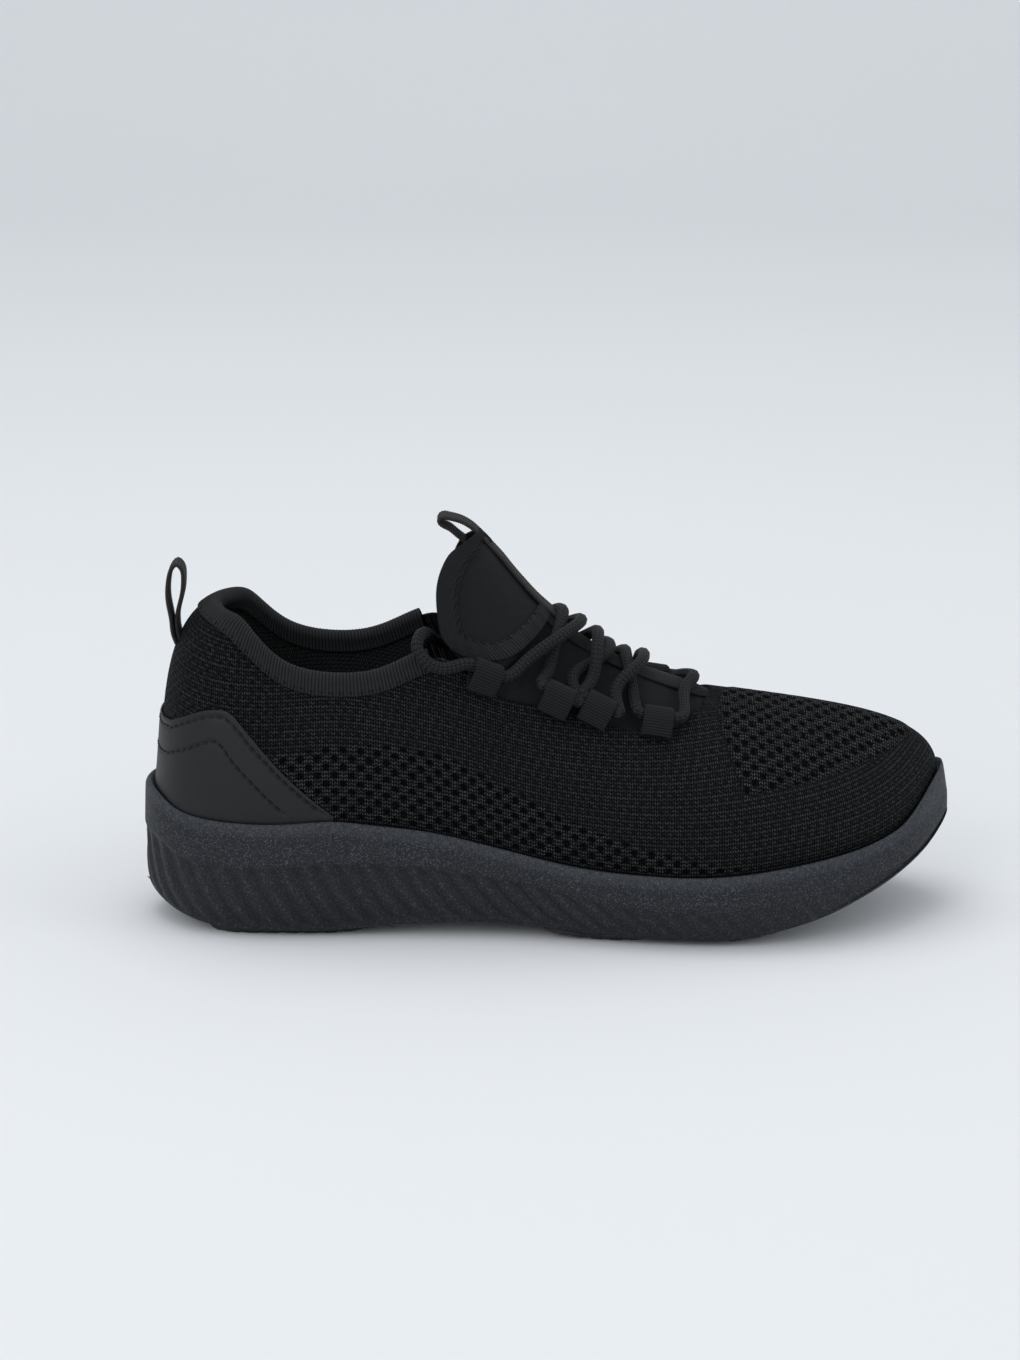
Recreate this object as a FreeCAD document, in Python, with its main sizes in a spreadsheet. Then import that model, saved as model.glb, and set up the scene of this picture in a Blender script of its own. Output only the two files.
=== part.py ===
"""Slip-on knit running shoe, right foot, in millimetres.

X points to the toe, Y to the medial side and Z up. The origin is on the ground under the middle
of the shoe. The midsole and the rubber pads are sketched bodies. The upper is a wall described by
four closed rows of points, and its layers are blocks taken at different depths inside that wall.
"""
import FreeCAD, Part
import math
import os

Vector = FreeCAD.Vector

DIMENSIONS = [
    ("sole_length", 298.0),
    ("sole_height", 60.0),
    ("ground_edge_inset", 7.0),
    ("rim_edge_inset", 1.2),
    ("bulge_height", 24.0),
    ("lower_side_height", 10.8),
    ("lower_side_inset", 1.5),
    ("cavity_start", 12.0),
    ("insole_start", 8.0),
    ("pad_thickness", 2.4),
    ("pad_overlap_gap", 0.06),
    ("fit_gap", 0.3),
    ("cup_gap", 0.9),
    ("body_gap", 0.05),
    ("flex_place", 55.0),
    ("flex_height", 6.0),
    ("flex_skew", 12.0),
    ("flex_angle", 30.0),
    ("knit_thickness", 1.6),
    ("overlay_thickness", 1.0),
    ("thread_diameter", 0.7),
    ("counter_thickness", 1.2),
    ("toe_puff_thickness", 0.7),
    ("collar_padding", 3.2),
    ("lining_thickness", 0.8),
    ("binding_thickness", 0.8),
    ("binding_width", 5.4),
    ("board_thickness", 1.2),
    ("insole_thickness", 4.0),
    ("insole_cover_thickness", 0.8),
    ("insole_gap", 0.1),
    ("panel_thickness", 1.2),
    ("tongue_shell_thickness", 1.0),
    ("tongue_foam_thickness", 3.6),
    ("tongue_lining_thickness", 0.8),
    ("tape_width", 10.0),
    ("tape_thickness", 0.8),
    ("webbing_thickness", 1.3),
    ("webbing_width", 11.0),
    ("lace_diameter", 4.5),
    ("lace_hole_diameter", 7.0),
    ("tab_rise", 4.4),
    ("tab_clearance", 1.6),
    ("tab_tail_length", 8.0),
    ("heel_loop_length", 22.8),
    ("heel_loop_depth", 6.4),
    ("tongue_loop_length", 16.4),
    ("tongue_loop_depth", 5.4),
]

# The widest outline of the sole, from the heel round the lateral side, the toe and the medial side.
SOLE_OUTLINE = [
    (-149, 0), (-145.5, -14), (-136, -27), (-118, -36.5), (-90, -39.5), (-55, -38.5), (-20, -39),
    (0, -42), (30, -48), (60, -51), (85, -48.5), (105, -42), (122, -32), (136, -18), (145, -3),
    (149.5, 10), (144.5, 24), (132, 37), (115, 46), (98, 50), (78, 50.7), (56, 45), (30, 36),
    (0, 30), (-30, 31), (-60, 35), (-90, 37), (-118, 35), (-136, 26), (-145.5, 13.5),
]

# Side profiles as (x, z): the top edge of the midsole, the surface the foot stands on inside it,
# and the underside of the foam, which springs up at both ends.
RIM = [
    (-165, 52), (-150, 51.6), (-142, 50.3), (-137, 47.8), (-130, 45.8), (-117, 44.7), (-94, 44.7),
    (-77, 45.6), (-65, 44.3), (-44, 41.6), (-23, 36.9), (0, 31.7), (17, 29.2), (34, 28.3),
    (51, 28), (68, 28.8), (85, 30.7), (102, 33), (119, 36.2), (130, 39.8), (138, 43.8),
    (145, 48.6), (150, 52.2), (165, 59),
]
FOOTBED = [
    (-165, 31), (-140, 30), (-100, 27), (-50, 26), (0, 20), (50, 15), (85, 17.5), (115, 25),
    (140, 36), (165, 48),
]
UNDERSIDE = [
    (-165, 26), (-150, 13), (-140, 7.5), (-128, 3.9), (-114, 2.35), (-96, 2.2), (-80, 2.3),
    (-62, 4), (-44, 6), (-20, 5.6), (5, 4.3), (20, 2.6), (34, 2.25), (48, 2.2), (62, 2.3),
    (74, 3.6), (85, 6.2), (102, 11.2), (114, 16), (125, 20.5), (136, 25.5), (144, 30), (150, 35),
    (165, 48),
]

# The upper's wall, station by station round the shoe in the outline's order. Each station has the
# place where the wall meets the midsole as (x, y), the two handles that bend the wall as
# (x, y, z), and the edge of the opening for the foot and the laces as (x, y, z).
WALL_STATIONS = [
    ((-143.5, 0), (-140.5, 0, 71), (-142.3, 0, 109.5), (-122.6, 0, 118.6)),
    ((-138, -20), (-136, -20.5, 71), (-136, -18.5, 108), (-118.6, -14.5, 117.8)),
    ((-122, -31.5), (-122.5, -33.5, 70), (-119, -28.5, 98), (-110.5, -23.5, 113.8)),
    ((-100, -35.5), (-100, -37.5, 66), (-98, -32.5, 87), (-96, -29, 100.8)),
    ((-76, -35.5), (-76, -37.5, 64), (-76, -33.5, 83), (-76, -31, 96.2)),
    ((-50, -34.5), (-50, -37, 62), (-53, -34.5, 83.5), (-57, -31, 99.2)),
    ((-24, -35), (-25, -38, 58), (-31, -35, 82), (-38, -30, 105)),
    ((0, -38), (-1, -42, 53), (-13, -35, 77), (-21, -29, 92)),
    ((24, -42.5), (24, -46.5, 48), (8, -37, 70), (0, -27.5, 86)),
    ((48, -46.5), (49, -50, 46), (30, -38, 66), (20, -27, 80)),
    ((72, -46), (74, -50, 46), (50, -37, 66), (38, -25, 75.5)),
    ((94, -41.5), (97, -45.5, 50), (70, -32, 70), (50, -17, 78.5)),
    ((114, -33), (118, -36, 55), (84, -22, 74), (56, -8, 82.5)),
    ((130, -20), (134, -21, 62), (95, -12, 76), (58, -1, 84.2)),
    ((140.5, -4), (144, -4, 69), (105, -3, 76.5), (58.5, 2, 84.6)),
    ((144.5, 11), (147.5, 12, 72), (112, 7, 76.5), (58.3, 5, 84.6)),
    ((136, 27), (140, 30, 66), (104, 17, 75.5), (57.5, 9, 84)),
    ((120, 38.5), (123, 42.5, 58), (90, 28, 72), (54, 15, 82)),
    ((100, 45), (102, 49, 52), (74, 36, 68), (45, 24, 78.5)),
    ((78, 46), (79, 50, 49), (54, 41, 68), (28, 28.5, 80.5)),
    ((54, 41.5), (54, 45, 50), (32, 40, 70), (8, 30, 86)),
    ((30, 32.5), (30, 36.5, 54), (10, 36.5, 76), (-12, 30.5, 91)),
    ((4, 26.5), (3, 31, 58), (-14, 34, 82), (-31, 30.5, 100)),
    ((-22, 26.5), (-23, 31, 61), (-34, 34, 84), (-43, 30.5, 106)),
    ((-48, 29), (-49, 33, 63), (-55, 34.5, 83.5), (-60, 31, 99.3)),
    ((-74, 32), (-75, 35.5, 65), (-77, 33.5, 83), (-78, 31, 96.4)),
    ((-100, 33.5), (-100, 36, 67), (-98.5, 32, 88), (-97, 29, 101.4)),
    ((-122, 31), (-122.5, 33, 70), (-119, 28, 98), (-110.5, 23.5, 113.8)),
    ((-138, 20), (-136, 20.5, 71), (-136, 18.5, 108), (-118.6, 14.5, 117.8)),
]
STATIONS = len(WALL_STATIONS)
TOE_STATION = 14.7

# The heel overlay's top edge and its two rows of stitches, as (wall station from the heel,
# height as a fraction of the wall), the same on both sides.
OVERLAY_EDGE = [
    (0.0, 0.362), (0.6, 0.366), (1.0, 0.384), (1.4, 0.440), (1.8, 0.508), (2.1, 0.548), (2.22, 0.556),
    (2.35, 0.545), (2.5, 0.513), (2.7, 0.463), (2.93, 0.392), (3.16, 0.312), (3.4, 0.228), (3.95, 0.028),
]
OUTER_SEAM = [
    (0.0, 0.330), (0.6, 0.334), (1.0, 0.352), (1.4, 0.408), (1.8, 0.475), (2.1, 0.512), (2.2, 0.513),
    (2.35, 0.495), (2.5, 0.462), (2.93, 0.343), (3.4, 0.183), (3.78, 0.050),
]
INNER_SEAM = [
    (0.0, 0.210), (0.6, 0.215), (0.95, 0.232), (1.5, 0.300), (1.95, 0.374), (2.08, 0.386), (2.2, 0.368),
    (2.36, 0.318), (2.74, 0.212), (3.2, 0.058),
]
FAR = 200.0

# The instep panel under the laces, front to back: the wall stations of its lateral and medial
# edges and the (x, z) of its ridge.
PANEL_SECTIONS = [
    (13.0, 15.9, 60, 82.0), (11.6, 17.1, 52, 85.8), (10.3, 18.2, 40, 89.8), (9.3, 19.1, 28, 94.4),
    (8.4, 20.0, 17, 100.2), (7.6, 20.85, 7, 107.6), (6.8, 21.65, -1, 115.6),
]
# The tongue above it, bottom to top: its lateral edge as (x, y, z) and its ridge as (x, z).
TONGUE_SECTIONS = [
    ((-31, -26.5, 100), -3.5, 118.6), ((-38, -25.5, 109), -7, 123.2),
    ((-40.5, -23.5, 119), -12, 129.3), ((-40.5, -21, 129), -17, 135.6),
    ((-37.5, -17, 137.5), -21.5, 140.8), ((-33, -11.5, 142.5), -25.5, 144.6),
]
RIDGE_Y = 3.0

# The tongue's medial edge mirrors its lateral edge about this Y, and lies further to the toe.
TONGUE_MIRROR_Y = -1.2
TONGUE_MEDIAL_SHIFT = 5.0

# The foot of each pull loop, and its lean from upright in degrees.
HEEL_LOOP_PLACE = Vector(-135.6, 0, 110.5)
HEEL_LOOP_LEAN = 0.0
TONGUE_LOOP_PLACE = Vector(-24, RIDGE_Y, 147.0)
TONGUE_LOOP_LEAN = -76.0

# Lace loops, front to back: each one's wall station, and its turn from the edge in degrees.
LATERAL_LOOPS = [(10.05, -20), (8.8, -11), (8.1, -14), (6.8, 20)]
MEDIAL_LOOPS = [(18.35, 0), (19.5, 0), (20.3, 0), (21.5, 0)]

# Lace strands, front to back. Each crosses the panel at three places along it: by the lateral
# loops, on the ridge and by the medial loops.
UPPER_STRANDS = [(3.1, 2.55, 2.45), (3.75, 4.15, 4.08), (5.4, 4.8, 4.75)]
LOWER_STRANDS = [(2.6, 3.05, 3.15), (4.1, 3.6, 3.72), (4.75, 5.45, 5.4)]

# A strand's way points across the panel, as shares of its half width, and their heights over it.
CROSSING_STOPS = (-0.62, -0.36, 0.0, 0.33, 0.62)
UPPER_HEIGHTS = (5.0, 8.6, 5.8, 3.9, 3.9)
LOWER_HEIGHTS = (3.9, 3.5, 3.7, 3.6, 3.9)

# The lace runs straight for this far on both sides of a loop's middle.
STRAIGHT_REACH = 7

# The lace's two ends, from behind the tongue over the collar to the rear loops.
LATERAL_LACE_END = [
    (-36, -8, 104), (-42.5, -17, 109), (-44, -23, 112.2), (-46.3, -29, 112), (-46.8, -32.5, 109.3),
    (-38, -34.3, 102.2),
]
MEDIAL_LACE_END = [(-36, 14, 105), (-38.5, 24, 109), (-37.3, 30, 108.9), (-33, 34, 106.3)]

# The lace's front stretch over the panel: places along and across it, and the height over it.
LACE_FRONT = [(1.25, 0.45, 3.8), (0.95, 0.0, 3.9), (1.25, -0.45, 3.8)]

# A cord is made of faces that span this many rings, and none has fewer than the least.
RINGS_PER_FACE = 12
LEAST_RINGS = 4

# The instep panel leaves the wall's edge at these heights, and this far before it bends over.
PANEL_EDGE = 0.99
PANEL_EDGE_BELOW = 0.89
PANEL_HANDLE = 22
TONGUE_HANDLE = 1.5

# Layers of the wall share these heights, so that their surfaces run side by side.
WALL_STEP = 1 / 17


def make_sheet(doc):
    """The driving dimensions, one named cell each."""
    sheet = doc.addObject("Spreadsheet::Sheet", "Dimensions")
    for row, (name, value) in enumerate(DIMENSIONS, start=1):
        sheet.set(f"A{row}", name)
        sheet.set(f"B{row}", str(value))
        sheet.setAlias(f"B{row}", name)
    doc.recompute()
    return sheet


def curve_through(points, stations=False):
    """A smooth open curve through points, with whole-number parameters at them when asked."""
    curve = Part.BSplineCurve()
    if stations:
        curve.interpolate(Points=points, Parameters=list(range(len(points))))
    else:
        curve.interpolate(Points=points)
    return curve


def closed_curve_through(points):
    """A smooth closed curve through points, with whole-number parameters at them."""
    poles = points
    for _ in range(40):
        poles = [(point * 6 - poles[i - 1] - poles[(i + 1) % len(points)]) * 0.25
                 for i, point in enumerate(points)]
    curve = Part.BSplineCurve()
    knots = list(range(len(points) + 1))
    curve.buildFromPolesMultsKnots(poles[-1:] + poles[:-1], [1] * len(knots), knots, True, 3)
    return curve


def side_curve(profile, lift=0.0):
    """A side profile as a curve in the sketch plane, raised by lift."""
    return curve_through([Vector(x, z + lift, 0) for x, z in profile])


def height_at(curve, x):
    """The height of a side profile over x, by halving the parameter range."""
    low, high = curve.FirstParameter, curve.LastParameter
    for _ in range(30):
        middle = (low + high) / 2
        if curve.value(middle).x < x:
            low = middle
        else:
            high = middle
    return curve.value(low).y


def inset(points, distance):
    """Closed outline points moved inwards by distance, square to the outline."""
    curve = closed_curve_through(points)
    moved = []
    for index, point in enumerate(points):
        along = curve.tangent(index)[0]
        moved.append(point + Vector(-along.y, along.x, 0).normalize() * distance)
    return moved


class Upper:
    """The upper's wall: a skin between the midsole's edge and the opening, with depth inwards."""

    def __init__(self, fit_gap):
        rim = side_curve(RIM)
        floor = side_curve(FOOTBED)
        feet = [station[0] for station in WALL_STATIONS]
        rows = [
            [Vector(x, y, height_at(floor, x) + fit_gap) for x, y in feet],
            [Vector(x, y, height_at(rim, x)) for x, y in feet],
        ]
        for row in (1, 2, 3):
            rows.append([Vector(*station[row]) for station in WALL_STATIONS])
        self.rows = [closed_curve_through(row) for row in rows]

    def skin(self, u, v):
        """The outer surface: v runs from -1 at the footbed through 0 at the rim to 1."""
        floor, rim, low, high, edge = [row.value(u % STATIONS) for row in self.rows]
        if v < 0:
            return floor + (rim - floor) * (1 + v)
        w = 1 - v
        return rim * w**3 + low * (3 * w * w * v) + high * (3 * w * v * v) + edge * v**3

    def normal(self, u, v):
        """The outward direction of the wall."""
        step = 0.02
        along = self.skin(u + step, v) - self.skin(u - step, v)
        up = self.skin(u, v + step) - self.skin(u, v - step)
        return along.cross(up).normalize()

    def point(self, u, v, depth=0.0):
        return self.skin(u, v) - self.normal(u, v) * depth


class Saddle:
    """A sheet that crosses the foot from a lateral edge over a ridge to a medial edge."""

    def __init__(self, sections):
        columns = list(zip(*sections))
        self.last = len(sections) - 1
        self.curves = [curve_through(list(column), stations=True) for column in columns]

    def skin(self, s, w):
        """s runs along the ridge, and w from -1 over 0 to 1 across it."""
        lateral, lateral_way, ridge, medial, medial_way = [c.value(s) for c in self.curves]
        edge, way = (lateral, lateral_way) if w < 0 else (medial, medial_way)
        t = 1 - abs(w)
        if t < 0:
            return edge + way * (t * 0.4)
        over = Vector(0, (ridge.y - edge.y) * 1.3, 0)
        square = t * t
        cube = square * t
        return (edge * (2 * cube - 3 * square + 1) + way * (cube - 2 * square + t)
                + ridge * (3 * square - 2 * cube) + over * (cube - square))

    def point(self, s, w, depth=0.0):
        step = 0.02
        inside = min(max(s, step), self.last - step)
        along = self.skin(inside + step, w) - self.skin(inside - step, w)
        across = self.skin(inside, w + step) - self.skin(inside, w - step)
        return self.skin(s, w) - across.cross(along).normalize() * depth


def instep_saddle(upper, depth):
    """The instep panel's sheet. Its edges lie against the inside of the knit wall."""
    sections = []
    for lateral_station, medial_station, x, z in PANEL_SECTIONS:
        row = []
        for station in (lateral_station, medial_station):
            edge = upper.point(station, PANEL_EDGE, depth)
            below = upper.point(station, PANEL_EDGE_BELOW, depth)
            way = (edge - below).normalize() * PANEL_HANDLE
            row.append((edge, way))
        sections.append((row[0][0], row[0][1], Vector(x, RIDGE_Y, z), row[1][0], row[1][1]))
    return Saddle(sections)


def tongue_saddle():
    """The tongue's sheet, which wraps the front of the ankle."""
    sections = []
    for (x, y, z), ridge_x, ridge_z in TONGUE_SECTIONS:
        forward = Vector(ridge_x - x, 0, ridge_z - z) * TONGUE_HANDLE
        ridge = Vector(ridge_x, RIDGE_Y, ridge_z)
        medial = Vector(x + TONGUE_MEDIAL_SHIFT, 2 * TONGUE_MIRROR_Y - y, z)
        sections.append((Vector(x, y, z), forward, ridge, medial, forward))
    return Saddle(sections)


def spread(first, last, count):
    return [first + (last - first) * index / (count - 1) for index in range(count)]


def block(place, us, vs, ring=False):
    """A closed solid between place(u, v, 0) and place(u, v, 1). A ring closes on itself in u."""
    surfaces = []
    for side in (0, 1):
        surface = Part.BSplineSurface()
        surface.interpolate([[place(u, v, side) for v in vs] for u in us])
        surfaces.append(surface)
    outer, inner = surfaces
    u_low, u_high, v_low, v_high = outer.bounds()
    rims = [(outer.vIso(v), inner.vIso(v)) for v in (v_low, v_high)]
    if not ring:
        rims += [(outer.uIso(u), inner.uIso(u)) for u in (u_low, u_high)]
    faces = [outer.toShape(), inner.toShape()]
    for rim in rims:
        wires = [Part.Wire(curve.toShape()) for curve in rim]
        faces += Part.makeLoft(wires, False, True).Faces
    shell = Part.makeShell(faces)
    shell.sewShape()
    solid = Part.makeSolid(shell)
    if solid.Volume < 0:
        solid.reverse()
    return solid


def cord(points, diameter, pitch=2.0):
    """A round cord along a smooth curve, its rings carried along without twist."""
    curve = curve_through(points)
    count = max(9, round(curve.length() / pitch))
    side = Vector(0, 0, 1)
    turns = [(math.cos(angle), math.sin(angle)) for angle in spread(0, 2 * math.pi, 13)]
    rings = []
    for index in range(count):
        parameter = curve.parameterAtDistance(curve.length() * index / (count - 1))
        centre = curve.value(parameter)
        along = curve.tangent(parameter)[0]
        side = (side - along * side.dot(along)).normalize()
        rise = along.cross(side)
        rings.append([centre + (side * c + rise * s) * (diameter / 2) for c, s in turns])
    surfaces = []
    for start in range(0, count - 1, RINGS_PER_FACE):
        stretch = rings[start:start + RINGS_PER_FACE + 1]
        if len(rings) - start - RINGS_PER_FACE < LEAST_RINGS:
            stretch = rings[start:]
        surface = Part.BSplineSurface()
        surface.interpolate(stretch)
        surfaces.append(surface)
        if stretch[-1] is rings[-1]:
            break
    ends = surfaces[0].uIso(0), surfaces[-1].uIso(1)
    faces = [surface.toShape() for surface in surfaces]
    faces += [Part.Face(Part.Wire(end.toShape())) for end in ends]
    shell = Part.makeShell(faces)
    shell.sewShape()
    solid = Part.makeSolid(shell)
    if solid.Volume < 0:
        solid.reverse()
    return solid


def plane_of(body, role):
    return next(item for item in body.Origin.OriginFeatures if item.Role == role)


def add_sketch(body, role, name, curves, height=0.0):
    """A sketch on one of the body's own planes."""
    sketch = body.newObject("Sketcher::SketchObject", name)
    sketch.AttachmentSupport = [(plane_of(body, role), "")]
    sketch.MapMode = "FlatFace"
    sketch.AttachmentOffset = FreeCAD.Placement(Vector(0, 0, height), FreeCAD.Rotation())
    sketch.addGeometry(curves, False)
    return sketch


def add_pad(body, sketch, name, alias, symmetric=False):
    pad = body.newObject("PartDesign::Pad", name)
    pad.Profile = sketch
    pad.setExpression("Length", f"Dimensions.{alias}")
    if symmetric:
        pad.SideType = "Symmetric"
    return pad


def add_side_pocket(body, name, profile, lift, keep_above):
    """Cuts the body along a side profile and keeps what lies above or below it."""
    curve = side_curve(profile, lift)
    start = curve.value(curve.FirstParameter)
    end = curve.value(curve.LastParameter)
    level = min(start.y, end.y) - FAR if keep_above else max(start.y, end.y) + FAR
    corners = [end, Vector(end.x, level, 0), Vector(start.x, level, 0), start]
    lines = [Part.LineSegment(a, b) for a, b in zip(corners, corners[1:])]
    sketch = add_sketch(body, "XZ_Plane", name + "_profile", [curve] + lines)
    pocket = body.newObject("PartDesign::Pocket", name)
    pocket.Profile = sketch
    pocket.Refine = False
    pocket.Length = 2 * FAR
    pocket.SideType = "Symmetric"
    return pocket


def flat_points(points):
    return [Vector(x, y, 0) for x, y in points]


def foot_outline(upper, outwards):
    """The plan of the wall's foot at the rim, moved outwards."""
    feet = flat_points([station[0] for station in WALL_STATIONS])
    return inset(feet, -outwards)


def add_flex_pocket(body, sheet, name, corners):
    """Cuts the body with a polygon drawn about the flex line, square to that line."""
    sketch_corners = [Vector(x, z, 0) for x, z in corners]
    lines = [Part.LineSegment(a, b)
             for a, b in zip(sketch_corners, sketch_corners[1:] + sketch_corners[:1])]
    sketch = add_sketch(body, "XZ_Plane", name + "_profile", lines)
    turn = FreeCAD.Rotation(Vector(0, 1, 0), -sheet.flex_skew)
    sketch.AttachmentOffset = FreeCAD.Placement(Vector(sheet.flex_place, 0, 0), turn)
    pocket = body.newObject("PartDesign::Pocket", name)
    pocket.Profile = sketch
    pocket.Refine = False
    pocket.Length = 2 * sheet.sole_length
    pocket.SideType = "Symmetric"


def make_sole_blank(doc, sheet, name, pockets):
    """The midsole before its cavity: a loft through four outlines, cut to its profiles."""
    body = doc.addObject("PartDesign::Body", name)
    outline = flat_points(SOLE_OUTLINE)
    levels = [(0.0, sheet.ground_edge_inset), (sheet.lower_side_height, sheet.lower_side_inset),
              (sheet.bulge_height, 0.0), (sheet.sole_height, sheet.rim_edge_inset)]
    sketches = []
    for index, (height, distance) in enumerate(levels):
        curve = closed_curve_through(inset(outline, distance))
        sketches.append(add_sketch(body, "XY_Plane", f"{name}_outline_{index}", [curve], height))
    doc.recompute()
    loft = body.newObject("PartDesign::AdditiveLoft", name + "_loft")
    loft.Profile = sketches[0]
    loft.Sections = sketches[1:]
    doc.recompute()
    add_side_pocket(body, name + "_rim_cut", RIM, 0.0, keep_above=False)
    add_side_pocket(body, name + "_underside_cut", UNDERSIDE, 0.0, keep_above=True)
    for index, corners in enumerate(pockets):
        add_flex_pocket(body, sheet, f"{name}_flex_cut_{index}", corners)
    return body


def make_plan_body(doc, name, points, length_alias, height=0.0):
    """A body padded up from a closed plan outline."""
    body = doc.addObject("PartDesign::Body", name)
    curve = closed_curve_through(points)
    sketch = add_sketch(body, "XY_Plane", name + "_plan", [curve], height)
    add_pad(body, sketch, name + "_pad", length_alias)
    return body


def make_cavity(doc, sheet, upper, name):
    """The room inside the midsole's cup."""
    outline = foot_outline(upper, sheet.cup_gap)
    body = make_plan_body(doc, name, outline, "sole_height", sheet.cavity_start)
    add_side_pocket(body, name + "_footbed_cut", FOOTBED, 0.0, keep_above=True)
    return body


def make_boolean(doc, kind, label, base, tool):
    result = doc.addObject("Part::" + kind, label)
    result.Base = base
    result.Tool = tool
    result.Refine = False
    result.Label = label
    return result


def make_midsole(doc, sheet, upper):
    """The foam unit, in three: behind the flex line, in front of it, and the wedge that bends."""
    gap = sheet.body_gap
    far = sheet.sole_length
    top = 2 * sheet.sole_height
    hinge = sheet.flex_height
    reach = (top - hinge) * math.tan(math.radians(sheet.flex_angle + 2))
    ahead = [(-gap, -far), (far, -far), (far, top), (-gap, top)]
    behind_leaned = [(-far, -far), (gap, -far), (gap, hinge), (gap + reach, top), (-far, top)]
    behind = [(-far, -far), (gap, -far), (gap, top), (-far, top)]
    ahead_leaned = [(0, -far), (far, -far), (far, top), (reach, top), (0, hinge)]
    pieces = []
    for name, pockets in (("midsole_rear", [ahead]), ("midsole_forefoot", [behind_leaned]),
                          ("midsole_flex_zone", [behind, ahead_leaned])):
        blank = make_sole_blank(doc, sheet, name + "_blank", pockets)
        cavity = make_cavity(doc, sheet, upper, name + "_cavity")
        pieces.append(make_boolean(doc, "Cut", name, blank, cavity))
    return pieces


def make_insole_layer(doc, sheet, upper, name, alias, lift):
    """A flat sheet or foam that follows the footbed: lift above it at its lower face."""
    thickness = getattr(sheet, alias)
    outline = foot_outline(upper, -(sheet.knit_thickness + 2 * sheet.fit_gap))
    body = make_plan_body(doc, name, outline, "sole_height", sheet.insole_start)
    add_side_pocket(body, name + "_top", FOOTBED, lift + thickness, keep_above=False)
    add_side_pocket(body, name + "_bottom", FOOTBED, lift, keep_above=True)
    return body


def make_tread_pad(doc, sheet, name, points):
    """A rubber pad under the foam, flat where it meets the ground."""
    body = make_plan_body(doc, name, flat_points(points), "sole_height")
    add_side_pocket(body, name + "_top", UNDERSIDE, -sheet.pad_overlap_gap, keep_above=False)
    add_side_pocket(body, name + "_bottom", UNDERSIDE, -sheet.pad_thickness, keep_above=True)
    return body


def rounded_plan(x_low, x_high, y_low, y_high, skew=0.0):
    """Eight points of a pad's outline: a rectangle with generous corners, sheared by skew."""
    x_mid = (x_low + x_high) / 2
    y_mid = (y_low + y_high) / 2
    x_half = (x_high - x_low) / 2
    y_half = (y_high - y_low) / 2
    points = []
    for step in range(8):
        angle = math.pi * (step / 4 + 1)
        reach = 1.0 if step % 2 == 0 else 1.22
        y = y_half * reach * math.sin(angle)
        points.append((x_mid + x_half * reach * math.cos(angle) + skew * y, y_mid + y))
    return points


def make_tread(doc, sheet):
    """Pads at the heel, behind the flex line, in front of it and under the toe."""
    pads = [
        ("outsole_heel_pad_lateral", rounded_plan(-124, -62, -29, -5)),
        ("outsole_heel_pad_medial", rounded_plan(-124, -62, 5, 27)),
        ("outsole_arch_pad_lateral", rounded_plan(-2, 40, -37, -6)),
        ("outsole_arch_pad_medial", rounded_plan(10, 48, 4, 27)),
        ("outsole_ball_pad_lateral", rounded_plan(58, 88, -39, -7)),
        ("outsole_ball_pad_medial", rounded_plan(70, 98, 5, 38)),
        ("outsole_toe_pad", rounded_plan(104, 132, -14, 28, 0.25)),
    ]
    return [make_tread_pad(doc, sheet, name, points) for name, points in pads]


def add_feature(doc, label, shape):
    feature = doc.addObject("Part::Feature", label)
    feature.Shape = shape
    feature.Label = label
    return feature


def lining_depth(sheet, v):
    """How deep the lining's outer face lies: it swells over the collar padding."""
    base = sheet.knit_thickness + sheet.counter_thickness + 2 * sheet.fit_gap
    if v < 0.3:
        return base
    return base + sheet.collar_padding * math.sin(math.pi * (v - 0.3) / 0.72) ** 2


def wall_levels(first, last):
    return [index * WALL_STEP for index in range(first, last + 1)]


def wall_stations(reach):
    """Two steps to each station from -reach to reach, the same as the knit's own."""
    return spread(-reach, reach, round(4 * reach) + 1)


def make_knit_upper(doc, sheet, upper):
    def place(u, v, side):
        return upper.point(u, v, side * sheet.knit_thickness)
    levels = spread(-0.98, 0, 5) + wall_levels(1, 17)
    shape = block(place, spread(0, STATIONS, 2 * STATIONS + 1), levels, ring=True)
    return add_feature(doc, "knit_upper", shape)


def make_heel_overlay(doc, sheet, upper):
    """The coated patch round the heel. Its top edge falls to the midsole at both ends."""
    foot = 0.02

    def place(u, v, side):
        outside = sheet.fit_gap / 2 + sheet.overlay_thickness * (1 - side)
        return upper.point(u, foot + v * (height_in(OVERLAY_EDGE, u) - foot), -outside)
    reach = OVERLAY_EDGE[-1][0]
    shape = block(place, spread(-reach, reach, 41), spread(0, 1, 9))
    return add_feature(doc, "heel_overlay", shape)


def height_in(table, u):
    """The height that a table of stations and heights gives at a wall station."""
    for (low, first), (high, second) in zip(table, table[1:]):
        if abs(u) <= high:
            return first + (second - first) * (abs(u) - low) / (high - low)
    return table[-1][1]


def make_overlay_stitching(doc, sheet, upper):
    """Two rows of thread on the overlay."""
    depth = -(sheet.overlay_thickness + sheet.fit_gap + sheet.thread_diameter / 2)
    rows = []
    for seam in (OUTER_SEAM, INNER_SEAM):
        reach = seam[-1][0]
        points = [upper.point(u, height_in(seam, u), depth) for u in spread(-reach, reach, 41)]
        rows.append(cord(points, sheet.thread_diameter))
    return add_feature(doc, "heel_overlay_stitching", Part.makeCompound(rows))


def make_heel_counter(doc, sheet, upper):
    start = sheet.knit_thickness + sheet.fit_gap

    def place(u, v, side):
        return upper.point(u, v, start + side * sheet.counter_thickness)
    return add_feature(doc, "heel_counter", block(place, wall_stations(4.5), wall_levels(1, 7)))


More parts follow.
